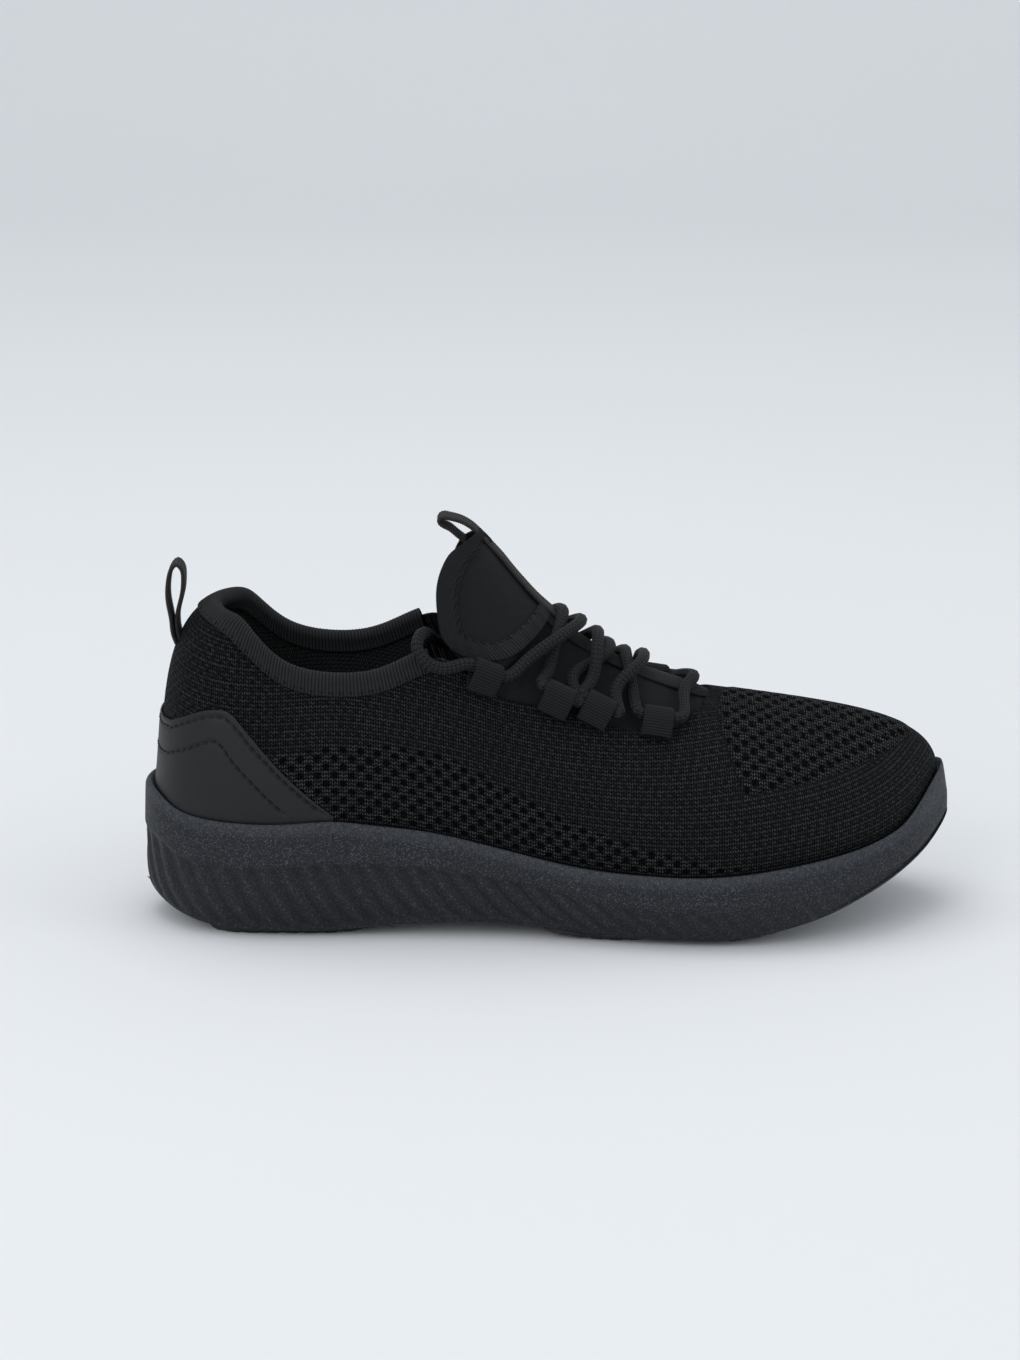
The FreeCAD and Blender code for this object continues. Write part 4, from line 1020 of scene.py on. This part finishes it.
def knit_pattern(u, v, points):
    """The knit's own coordinates, its open share, and how deep its holes and dots go."""
    rim = upper.skin(u[:, :1], 0 * u[:, :1])
    steps = np.linalg.norm(np.diff(rim[:, 0, :2], axis=0, append=rim[:1, 0, :2]), axis=1)
    around = np.concatenate([[0], np.cumsum(steps)[:-1]])[:, None]
    next_rim = np.roll(rim[:, 0], -1, 0)
    heading = ((next_rim - rim[:, 0])[:, 0] / steps)[:, None]
    x, y, z = np.moveaxis(points, -1, 0)
    a = around + heading * (x - rim[..., 0])
    moves = np.diff(points, axis=1)
    sideways = 1 - heading**2
    climb = np.sqrt(sideways * moves[..., 0]**2 + moves[..., 1]**2 + moves[..., 2]**2)
    start = int(np.argmin(np.abs(v[0])))
    b = np.concatenate([np.zeros_like(x[:, :1]), np.cumsum(climb, 1)], 1)
    b -= b[:, start:start + 1]
    height = z - rim_height(x)
    wall = smooth(-0.5, 1.0, height)
    rim_x = np.array([station[0] for station in WALL_STATIONS], float)
    lateral, medial = rim_x[8:15], rim_x[15:22][::-1]
    half = np.where(y < RIDGE_Y, RIDGE_Y - np.interp(x, lateral[:, 0], lateral[:, 1]),
                    np.interp(x, medial[:, 0], medial[:, 1]) - RIDGE_Y) + 4
    girth = half * np.arcsin(np.clip((y - RIDGE_Y) / half, -1, 1))
    front = smooth(0, 2.0, x - 62 - 0.010 * (y + 12)**2) * smooth(0, 2.0, z - VAMP_FLOOR(x))
    front *= smooth(136, 131, x)
    side = wall * smooth(-2.0, 0.0, MESH_TOP(np.clip(x, -92, 72)) - height) * smooth(74, 70, x)
    side *= smooth(-104, -98, x)
    heel = smooth(-90, -100, x) * wall
    specks = smooth(9, 6, np.abs(z - (80 - 0.42 * x))) * smooth(-22, -14, x) * smooth(58, 50, x)
    vamp = front > 0.02
    a = np.where(vamp, x, a)
    b = np.where(vamp, girth, b)
    open_share = np.maximum(front, side)
    holes = lattice(a, b, *HOLE_LATTICE) * open_share
    dots = lattice(a, b, *DOT_LATTICE) * np.maximum(heel * 0.9, 0.45 * specks)
    return coordinates(a, b), open_share, np.maximum(holes, dots), holes


def make_knit_upper():
    """The knit wall: a fine outer face, a rolled top edge and a plain inner face."""
    us = np.linspace(0, STATIONS, 1180, endpoint=False)
    top = 0.985
    outer_v = np.concatenate([np.linspace(-0.35, -0.03, 8), np.linspace(0, top, 172)])
    u, v = np.meshgrid(us, outer_v, indexing="ij")
    weave, open_share, pit, holes = knit_pattern(u, v, upper.skin(u, v))
    puff = open_share * OPEN_PUFF * (1 - holes)
    outer = upper.point(u, v, HOLE_DEPTH * holes + DOT_DEPTH * (pit - holes).clip(0) - puff)
    half = KNIT_THICKNESS / 2
    rise = unit(upper.skin(us, 1.0) - upper.skin(us, 0.97))
    base = upper.point(us, top, half)
    out = upper.normal(us, top)
    edge = [base + out * half * math.cos(angle) + rise * half * math.sin(angle)
            for angle in spread(0, math.pi, 7)[1:-1]]
    ui, vi = np.meshgrid(us, np.concatenate([np.linspace(top, 0.0, 20), [-0.12, -0.35]]), indexing="ij")
    inner = upper.point(ui, vi, KNIT_THICKNESS)
    points = np.concatenate([outer, np.stack(edge, 1), inner], 1)
    extra = points.shape[1] - outer.shape[1]

    def plain_inside(values):
        return np.concatenate([values, np.zeros((len(values), extra))], 1)
    # The pit field also paints shade into the holes and dots.
    fields = {"weave": np.concatenate([weave, np.repeat(weave[:, -1:], extra, 1)], 1),
              "open": plain_inside(open_share), "pit": plain_inside(pit * 0.92)}
    piece = tube_grid("knit_upper_cloth", points, KNIT, fields, ring=True)
    return finish_soft(piece, bend_at_ball, "knit", "knit_upper")


def seam_depth(u, v):
    """Grooves where the two rows of stitching pull the overlay in."""
    depth = 0.0
    for seam in (OUTER_SEAM, INNER_SEAM):
        distance = np.abs(v - height_in(seam, u)) * WALL_HEIGHT
        reach = seam[-1][0]
        depth = depth + SEAM_DEPTH * smooth(1.5, 0.2, distance) * smooth(reach + 0.1, reach, np.abs(u))
    return depth


def make_heel_overlay():
    def place(u, t, depth):
        v = OVERLAY_FOOT + t * (height_in(OVERLAY_EDGE, u) - OVERLAY_FOOT)
        return upper.point(u, v, depth - FIT_GAP / 2 - OVERLAY_THICKNESS + seam_depth(u, v))
    reach = OVERLAY_EDGE[-1][0]
    piece = sheet("heel_overlay_skin", place, spread(-reach, reach, 520, 5),
                  spread(0, 1, 90, 5), OVERLAY_THICKNESS, LEATHER, roll=0.7)
    return finish_rigid(piece, "rearfoot", "overlay", "heel_overlay")


def sewn_row(line, normals):
    """Stitches along a line, whose normals lead out of the cloth: short arched threads as tubes."""
    travelled = lengths_along(line)
    t = np.linspace(0, 1, 9)
    radius = THREAD_DIAMETER / 2 * np.sqrt(np.clip(1 - (2 * t - 1)**6, 0.02, 1))[:, None]
    lift = (STITCH_RISE * (1 - (2 * t - 1)**2))[:, None]
    threads = []
    for start in np.arange(STITCH_GAP, travelled[-1] - STITCH_LENGTH, STITCH_LENGTH + STITCH_GAP):
        at = start + t * STITCH_LENGTH
        centre = places_at(line, travelled, at)
        normal = unit(places_at(normals, travelled, at))
        side = np.cross(unit(np.gradient(centre, axis=0)), normal)
        ring = [centre + normal * lift + (side * math.cos(angle) + normal * math.sin(angle)) * radius
                for angle in np.linspace(0, 2 * math.pi, 8, endpoint=False)]
        threads.append(np.stack(ring, 1))
    return threads


def make_overlay_stitches():
    threads = []
    for seam in (OUTER_SEAM, INNER_SEAM):
        u = np.linspace(-seam[-1][0], seam[-1][0], 500)
        v = height_in(seam, u)
        outside = FIT_GAP / 2 + OVERLAY_THICKNESS - STITCH_SINK
        threads += sewn_row(upper.point(u, v, -outside), upper.normal(u, v))
    piece = make_mesh("overlay_stitches", *joined_tubes(threads), THREAD)
    return finish_rigid(piece, "rearfoot", "thread", "heel_overlay_stitching")


# ------------------------------------------------------------------------------ collar and inside
def lining_depth(v):
    base = KNIT_THICKNESS + COUNTER_THICKNESS + 2 * FIT_GAP
    swell = COLLAR_PADDING * np.sin(math.pi * (v - 0.3) / 0.72)**2
    return base + np.where(v < 0.3, 0.0, swell)


def make_collar_binding():
    """Ribbed tape folded over the topline, dimpled where it is sewn."""
    us = spread(-BINDING_REACH, BINDING_REACH, 1350, 4)
    inner_leg = lining_depth(np.array(1.0)) + LINING_THICKNESS + FIT_GAP
    outer_leg = -FIT_GAP / 2
    middle, radius = (inner_leg + outer_leg) / 2, (inner_leg - outer_leg) / 2
    rise = unit(upper.skin(us, 1.0) - upper.skin(us, 0.97))
    out = upper.normal(us, 0.98)
    length = np.linalg.norm(upper.skin(us, 1.0) - upper.skin(us, 0.9), axis=1)
    leg = BINDING_WIDTH / length * 0.1
    travelled = lengths_along(upper.skin(us, 1.0))
    turns = np.concatenate([np.linspace(0, 1, 17), np.linspace(1.06, 1.94, 15), np.linspace(2.0, 3.0, 12)])

    def row(q, grow):
        """A line along the tape: q runs up outside to 1, over the top and down inside from 2 to 3."""
        if q <= 1:
            return upper.point(us, 1 - leg * (1 - q), outer_leg - grow)
        if q >= 2:
            v = 1 - leg * 0.8 * (q - 2)
            swell = lining_depth(v) - lining_depth(np.array(1.0))
            return upper.point(us, v, inner_leg + swell + grow)
        angle = math.pi * (q - 1)
        arm = out * math.cos(angle) + rise * math.sin(angle)
        return upper.point(us, 1.0, middle) + arm * (radius + np.asarray(grow))[..., None]
    rib = 0.16 * np.abs(np.sin(math.pi * travelled / RIB_PITCH)) - 0.08
    rows, weave = [], []
    for q in turns:
        across = q * BINDING_WIDTH
        edge = min(q, 3 - q)
        thick = BINDING_THICKNESS * math.sqrt(max(0.0, 1 - max(0.0, 1 - edge / 0.06)**2))
        sewn = smooth(0.13, 0.03, abs(q - 0.2)) * smooth(1.3, 0.5, np.abs(np.mod(travelled, 3.4) - 1.7))
        rows.append(row(q, thick + rib * (thick > 0.3) - 0.5 * sewn))
        weave.append(coordinates(travelled, np.full_like(travelled, across)))
    for q in turns[::-4][1:-1]:
        rows.append(row(q, 0.0 * travelled))
        weave.append(coordinates(travelled, np.full_like(travelled, q * BINDING_WIDTH)))
    piece = tube_grid("collar_binding_rib", np.stack(rows, 1), BINDING, {"weave": np.stack(weave, 1)})
    return finish_rigid(piece, "rearfoot", "binding", "collar_binding")


def make_collar_padding():
    """The padded lining round the ankle and down the quarter."""
    def place(u, v, depth):
        return upper.point(u, v, lining_depth(v) + depth - 0.2)
    piece = sheet("collar_padding", place, spread(-LINING_REACH, LINING_REACH, 420, 3),
                  spread(-0.42, 0.985, 96, 3), LINING_THICKNESS, LINING)
    return finish_rigid(piece, "rearfoot", "lining", "collar_lining", "collar_foam")


def make_sockliner():
    """The insole with its cloth cover, dished towards its edge."""
    columns = 400
    outline = foot_line(columns, -KNIT_THICKNESS - 4 * FIT_GAP)
    spine = middle_line(outline)
    rows, weave = [], []
    shares = np.concatenate([np.linspace(1, 0.04, 40), [0.02, 0.005, 0.0]])
    for top in (True, False):
        for share in (shares if top else shares[::-1][1:]):
            plan = outline + (spine - outline) * share
            level = floor_height(plan[:, 0]) + INSOLE_LIFT
            if top:
                dish = 1.2 * (1 - share)**6
                level = level + INSOLE_THICKNESS * (1 - 0.5 * smooth(0.03, 0.0, share)) + dish
            rows.append(np.column_stack([plan, level]))
            weave.append(coordinates(plan[:, 0], plan[:, 1]))
    faces = [grid_faces(len(rows), columns, False, True, flip=True)]
    piece = make_mesh("sockliner", np.concatenate(rows), faces, LINING, {"weave": np.concatenate(weave)})
    weld(piece)
    return finish_soft(piece, bend_at_ball, "lining", "sockliner_cover", "sockliner_foam", "strobel_board")


# ------------------------------------------------------------------------------ instep and tongue
def ridge_strip(saddle, s, q, width, depth):
    """A point of a tape of constant width along a saddle's ridge."""
    return saddle.point(s, q * width / 2 / (1.3 * saddle.half_span(s)), depth)


def make_instep():
    """The cloth under the laces and the tape down its ridge."""
    def wrinkle(along, across, s, w):
        return 0.25 * np.sin(along / 3.7 + 0.8 * np.sin(across / 6)) * smooth(0.9, 0.5, np.abs(w))
    cloth = sheet("instep_cloth", panel.point, spread(-0.6, 6, 210, 3), spread(-1.15, 1.15, 160, 3),
                  PANEL_THICKNESS, JERSEY, relief=wrinkle)
    finish_soft(cloth, bend_at_ball, "stretch", "instep_panel")

    def tape_place(s, q, depth):
        return ridge_strip(panel, s, q, INSTEP_TAPE_WIDTH, depth - FIT_GAP / 2 - TAPE_THICKNESS)
    tape = sheet("instep_webbing", tape_place, spread(-0.3, 5.95, 280, 3), spread(-1, 1, 24, 4),
                 TAPE_THICKNESS, TAPE, relief=grosgrain)
    finish_soft(tape, bend_at_ball, "webbing", "instep_tape")


def grosgrain(along, across, u, v):
    """Low ribs across a woven tape."""
    return 0.12 * (np.abs(np.sin(math.pi * along / 0.9)) - 0.5)


def apply_modifier(piece, name):
    with bpy.context.temp_override(object=piece, active_object=piece):
        bpy.ops.object.modifier_apply(modifier=name)


def swell(piece, pressure, most, frames=20):
    """Puffs a closed piece like filled cloth: no point moves further than most millimetres."""
    scene = bpy.context.scene
    bpy.context.view_layer.objects.active = piece
    remesh = piece.modifiers.new("even", "REMESH")
    remesh.mode = "VOXEL"
    remesh.voxel_size = PAD_VOXEL * MM
    remesh.use_smooth_shade = True
    apply_modifier(piece, "even")
    places = np.array([p.co for p in piece.data.vertices])
    cloth = piece.modifiers.new("cloth", "CLOTH")
    cloth.settings.use_pressure = True
    cloth.settings.uniform_pressure_force = pressure
    cloth.settings.effector_weights.gravity = 0
    cloth.settings.quality = 4
    cloth.point_cache.frame_start = 1
    cloth.point_cache.frame_end = frames
    for number in range(1, frames + 1):
        scene.frame_set(number)
    result = piece.evaluated_get(bpy.context.evaluated_depsgraph_get())
    puffed = np.array([p.co for p in result.data.vertices])
    piece.modifiers.remove(cloth)
    scene.frame_set(1)
    moved = puffed - places
    distance = np.linalg.norm(moved, axis=1, keepdims=True)
    places = places + moved * np.minimum(1, most * MM / np.maximum(distance, 1e-9))
    piece.data.vertices.foreach_set("co", places.astype(np.float32).ravel())
    divide = piece.modifiers.new("finer", "SUBSURF")
    divide.levels = divide.render_levels = 1
    apply_modifier(piece, "finer")
    piece.data.polygons.foreach_set("use_smooth", np.ones(len(piece.data.polygons), bool))
    return piece


def inwards_on(saddle, s, w, distance):
    """Places on a saddle moved square to the line of places s, w, to its left as seen outside."""
    step = 0.02
    by_s = (saddle.skin(s + step, w) - saddle.skin(s - step, w)) / (2 * step)
    by_w = (saddle.skin(s, w + step) - saddle.skin(s, w - step)) / (2 * step)
    along = unit(np.gradient(saddle.skin(s, w), axis=0))
    normal = unit(np.cross(by_w, by_s))
    way = np.cross(normal, along)
    matrix = np.stack([np.stack([(by_s * by_s).sum(-1), (by_s * by_w).sum(-1)], -1),
                       np.stack([(by_s * by_w).sum(-1), (by_w * by_w).sum(-1)], -1)], -2)
    right = np.stack([(by_s * way).sum(-1), (by_w * way).sum(-1)], -1)[..., None]
    moved = np.linalg.solve(matrix, right)[..., 0] * distance
    return s + moved[:, 0], w + moved[:, 1]


# The outer edge of the tongue's border on the lateral side, over the tongue's (s, w).
BORDER_LINE = [
    (-1.15, -0.10), (-1.15, -0.32), (-1.02, -0.55), (-0.62, -0.75), (0.05, -0.90), (0.8, -0.975),
    (1.6, -0.985), (2.4, -0.985), (3.2, -0.985), (4.0, -0.975), (4.55, -0.90), (4.86, -0.55), (4.93, 0.0),
]


def make_tongue():
    """The padded tongue with its ribbed border, sewn down along the edge and under the pad."""
    def pad_place(s, w, depth):
        return tongue.point(s, w, depth + 0.9 - 0.9 * smooth(0.4, -0.6, s))
    pad = sheet("tongue_pad", pad_place, spread(-1.2, 4.98, 70, 3), spread(-0.99, 0.99, 80, 3),
                TONGUE_THICKNESS, PAD, roll=3.2)
    swell(pad, PAD_PRESSURE, PAD_SWELL)
    finish_soft(pad, bend_at_tongue, "padding", "tongue_shell", "tongue_foam", "tongue_lining")
    lateral = np.array(BORDER_LINE)
    medial = (lateral * (1, -1))[::-1][1:]
    line = np.concatenate([lateral, medial])
    curve = open_spline(np.linspace(0, 2, len(line)), line)
    dense = np.linspace(0, 2, 900)
    outer_s, outer_w = curve(dense).T
    width = BORDER_WIDTH * (1 - 0.5 * smooth(0.30, 0.05, np.abs(dense - 1)))[:, None]
    inner_s, inner_w = inwards_on(tongue, outer_s, outer_w, -width)

    def border_place(t, q, depth):
        """t runs up the lateral edge, over the top and down the medial edge."""
        share = (q + 1) / 2
        s = np.interp(t, dense, outer_s) * (1 - share) + np.interp(t, dense, inner_s) * share
        w = np.interp(t, dense, outer_w) * (1 - share) + np.interp(t, dense, inner_w) * share
        return pad_place(s, w, depth - BINDING_THICKNESS - 0.45)

    def ribs(along, across, t, q):
        sewn = smooth(0.22, 0.08, np.abs(q - 0.78)) * smooth(1.2, 0.5, np.abs(np.mod(along, 3.3) - 1.65))
        return 0.3 * (np.abs(np.sin(math.pi * along / 1.6)) - 0.5) - 0.6 * sewn
    border = sheet("tongue_border", border_place, spread(0, 2, 700, 3), spread(-1, 1, 30, 4),
                   BINDING_THICKNESS, BINDING, relief=ribs)
    finish_soft(border, bend_at_tongue, "binding", "tongue_binding")


# ------------------------------------------------------------------------------ webbing and laces
def webbing_band(path, across, half_width, thickness, pitch):
    """A ribbed band swept along a path of points: returns its rings and their weave field."""
    travelled = lengths_along(path)
    at = np.linspace(0, travelled[-1], int(travelled[-1] / WEBBING_STEP))
    line = places_at(path, travelled, at)
    along = unit(np.gradient(line, axis=0))
    out = unit(np.cross(along, across))
    rib = 0.26 * (np.abs(np.sin(math.pi * at / pitch)) - 0.5)
    ring, weave = [], []
    half = thickness / 2
    for side in (1, -1):
        for w in np.linspace(side, -side, 15):
            edge = math.sqrt(max(0.0, 1 - max(0.0, (abs(w) - 0.9) / 0.1)**2))
            lift = side * (half + rib) * (0.25 + 0.75 * edge)
            ring.append(line + across * half_width * w + out * lift[:, None])
            weave.append(coordinates(at, np.full_like(at, w * half_width)))
    return np.stack(ring, 1), np.stack(weave, 1)


def make_band(name, line, y, width):
    """A band of webbing that follows a centre line in an XZ plane."""
    curve = smooth_line(np.array(line, float), 600)
    path = np.column_stack([curve[:, 0], np.full(len(curve), y), curve[:, 1]])
    across = np.array([0.0, 1.0, 0.0])
    rings, weave = webbing_band(path, across, width / 2, WEBBING_THICKNESS, LOOP_RIB_PITCH)
    return tube_grid(name, rings, LOOP_WEBBING, {"weave": weave})


def bend_at_tongue_loop(piece):
    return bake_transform(piece)


def bend_at_heel_loop(piece):
    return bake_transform(piece)


def make_pull_loops():
    """The heel loop, and the band that is both the tongue's tape and its pull loop."""
    heel = make_band("heel_loop_webbing", HEEL_LOOP, 0.0, WEBBING_WIDTH)
    finish_soft(heel, bend_at_heel_loop, "webbing", "heel_pull_loop")
    loop = make_band("tongue_loop_webbing", TONGUE_BAND[:11], RIDGE_Y, TAPE_WIDTH)
    finish_soft(loop, bend_at_tongue_loop, "webbing", "tongue_pull_loop")
    tape = make_band("tongue_webbing", TONGUE_BAND[10:], RIDGE_Y, TAPE_WIDTH)
    finish_soft(tape, bend_at_tongue, "webbing", "tongue_tape")


def tab_frame(loop):
    """Where a lace loop holds the lace: its centre, and along, out and up."""
    station, turn = loop
    edge = upper.skin(station, 1.0)
    out = upper.normal(station, 0.98)
    tangent = upper.skin(station + 0.05, 1.0) - upper.skin(station - 0.05, 1.0)
    tangent = tangent * (1 if tangent[0] > 0 else -1)
    tangent = unit(tangent - out * (tangent @ out))
    side = np.cross(out, tangent)
    side = side * (1 if side[2] > 0 else -1)
    angle = math.radians(turn)
    along = tangent * math.cos(angle) + side * math.sin(angle)
    up = side * math.cos(angle) - tangent * math.sin(angle)
    return edge + up * TAB_RISE + out * TAB_REACH, along, out, up


def make_lace_tab(loop):
    """One loop of tape, draped over the lace with both ends sewn to the knit below it."""
    centre, along, out, up = tab_frame(loop)
    radius = (LACE_DIAMETER + TAB_THICKNESS) / 2 + 0.1
    inner = [(-3.3, -8.0), (-3.35, -5.0), (-3.2, -2.2)]
    turn = [(-radius * math.cos(a), radius * math.sin(a)) for a in np.linspace(0.1, math.pi - 0.1, 20)]
    outer = [(2.75, -1.6), (2.1, -3.6), (1.0, -5.4), (-0.4, -7.0), (-1.7, -8.2)]
    line = smooth_line(np.array(inner + turn + outer), 200)
    path = centre + line[:, :1] * out + line[:, 1:] * up
    return webbing_band(path, along, WEBBING_WIDTH / 2, TAB_THICKNESS, TAB_RIB_PITCH)


def make_lace_tabs(name, node, loops):
    rings, weave = zip(*[make_lace_tab(loop) for loop in loops])
    fields = {"weave": np.concatenate([field.reshape(-1, 3) for field in weave])}
    piece = make_mesh(name, *joined_tubes(rings), WEBBING, fields)
    return finish_rigid(piece, "rearfoot", "tabs", node)


def lace_crossing(places, heights):
    """Way points of one strand over the panel, from the lateral to the medial side."""
    lateral, ridge, medial = places
    points = []
    for stop, height in zip(CROSSING_STOPS, heights):
        side = lateral if stop < 0 else medial
        s = ridge + (side - ridge) * abs(stop) / CROSSING_STOPS[-1]
        points.append(panel.point(min(s, panel.last), stop, -height))
    return points


def through_tab(loop):
    """Way points of the lace through one loop, towards the toe."""
    centre, along, _, _ = tab_frame(loop)
    return [centre + along * step for step in np.linspace(-STRAIGHT_REACH, STRAIGHT_REACH, 5)]


def lace_path():
    """The cord: behind the tongue, zigzag to the front, across, and zigzag back."""
    lateral = [through_tab(loop) for loop in LATERAL_LOOPS]
    medial = [through_tab(loop) for loop in MEDIAL_LOOPS]
    above = [lace_crossing(places, UPPER_HEIGHTS) for places in UPPER_STRANDS]
    below = [lace_crossing(places, LOWER_HEIGHTS) for places in LOWER_STRANDS]
    points = list(LATERAL_LACE_END)
    points += lateral[3] + above[2] + medial[2] + above[1][::-1] + lateral[1] + above[0] + medial[0]
    points += [panel.point(s, w, -height) for s, w, height in LACE_FRONT]
    points += lateral[0][::-1] + below[0] + medial[1][::-1] + below[1][::-1]
    points += lateral[2][::-1] + below[2] + medial[3][::-1] + MEDIAL_LACE_END[::-1]
    return np.array([np.asarray(p, float) for p in points])


def make_lace():
    """The cord: rings of nine shallow ribs along the lace's path, turned as little as possible."""
    dense = smooth_line(lace_path(), 6000)
    travelled = lengths_along(dense)
    at = np.arange(0, travelled[-1], LACE_STEP)
    line = places_at(dense, travelled, at)
    along = unit(np.gradient(line, axis=0))
    angles = np.linspace(0, 2 * math.pi, 4 * LACE_RIBS, endpoint=False)
    radius = LACE_DIAMETER / 2 * (0.955 + 0.045 * np.abs(np.sin(LACE_RIBS * angles / 2)) * 2 - 0.045)
    side = np.array([0.0, 0.0, 1.0])
    rings = []
    for centre, way in zip(line, along):
        side = side - way * (side @ way)
        side = side / np.linalg.norm(side)
        arms = np.outer(np.cos(angles), side) + np.outer(np.sin(angles), np.cross(way, side))
        rings.append(centre + arms * radius[:, None])
    a, b = np.meshgrid(at, angles * LACE_DIAMETER / 2, indexing="ij")
    piece = tube_grid("lace_cord", np.stack(rings), BRAID, {"weave": coordinates(a, b)}, flip=True)
    return finish_soft(piece, bend_at_ball, "lace", "lace")


# ---------------------------------------------------------------------------------- floor, lights
SKY_COLOUR = (0.93, 0.96, 1.0)
SKY_STRENGTH = 0.85

# Name, place and target in metres, size in metres, power in watts and colour.
LAMPS = [
    ("top_softbox", (-0.25, 0.25, 1.7), (0.0, 0.0, 0.05), 1.3, 8.5, (1.0, 0.99, 0.97)),
    ("front_softbox", (-0.9, -1.6, 1.1), (0.0, 0.0, 0.06), 1.0, 7.5, (1.0, 1.0, 1.0)),
    ("toe_softbox", (1.5, -0.5, 0.9), (0.05, 0.0, 0.06), 0.8, 3.0, (0.96, 0.98, 1.0)),
]
CAMERA_PLACE = (-0.0137, -1.346, 0.474)
CAMERA_TARGET = (-0.0137, 0.0, 0.088)
CAMERA_LENS = 101.1


def make_studio():
    """A pale floor that curves up behind the shoe, and soft lights."""
    depth, radius, half, wall = 1.6, 1.2, 7.0, 7.0
    profile = [(-6.0, 0.0), (depth, 0.0)]
    for angle in np.linspace(0.1, math.pi / 2, 14):
        profile.append((depth + radius * math.sin(angle), radius * (1 - math.cos(angle))))
    profile.append((depth + radius, wall))
    points = np.array([(x, y, z) for y, z in profile for x in (-half, half)]) / MM
    floor = make_mesh("floor", points, [grid_faces(len(profile), 2, flip=True)], floor_material())
    world = bpy.data.worlds.new("studio")
    world.use_nodes = True
    background = world.node_tree.nodes["Background"]
    background.inputs["Color"].default_value = (*SKY_COLOUR, 1)
    background.inputs["Strength"].default_value = SKY_STRENGTH
    bpy.context.scene.world = world
    for name, place, target, size, power, colour in LAMPS:
        lamp = bpy.data.lights.new(name, "AREA")
        lamp.shape = "SQUARE"
        lamp.size = size
        lamp.energy = power
        lamp.color = colour
        holder = bpy.data.objects.new(name, lamp)
        bpy.context.scene.collection.objects.link(holder)
        aim(holder, place, target)


def aim(holder, place, target):
    holder.location = place
    way = Vector(target) - Vector(place)
    holder.rotation_euler = way.to_track_quat("-Z", "Y").to_euler()


def make_camera():
    """16 degrees above the horizon, square to the lateral side."""
    camera = bpy.data.cameras.new("camera")
    camera.lens = CAMERA_LENS
    camera.sensor_width = 36
    holder = bpy.data.objects.new("camera", camera)
    bpy.context.scene.collection.objects.link(holder)
    aim(holder, CAMERA_PLACE, CAMERA_TARGET)
    bpy.context.scene.camera = holder


def main():
    make_midsole()
    for name, body, size in TREAD_PADS:
        make_tread_pad(name, body, size)
    make_knit_upper()
    make_heel_overlay()
    make_overlay_stitches()
    make_collar_binding()
    make_collar_padding()
    make_sockliner()
    make_instep()
    make_tongue()
    make_pull_loops()
    make_lace_tabs("lateral_lace_tabs", "lace_loops_lateral", LATERAL_LOOPS)
    make_lace_tabs("medial_lace_tabs", "lace_loops_medial", MEDIAL_LOOPS)
    make_lace()
    for node in ("heel_counter", "toe_puff"):
        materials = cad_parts[node].data.materials
        materials.clear()
        materials.append(BOARD)
    make_studio()
    make_camera()
    view = bpy.context.scene.view_settings
    view.view_transform = "Standard"
    view.look = "None"


main()
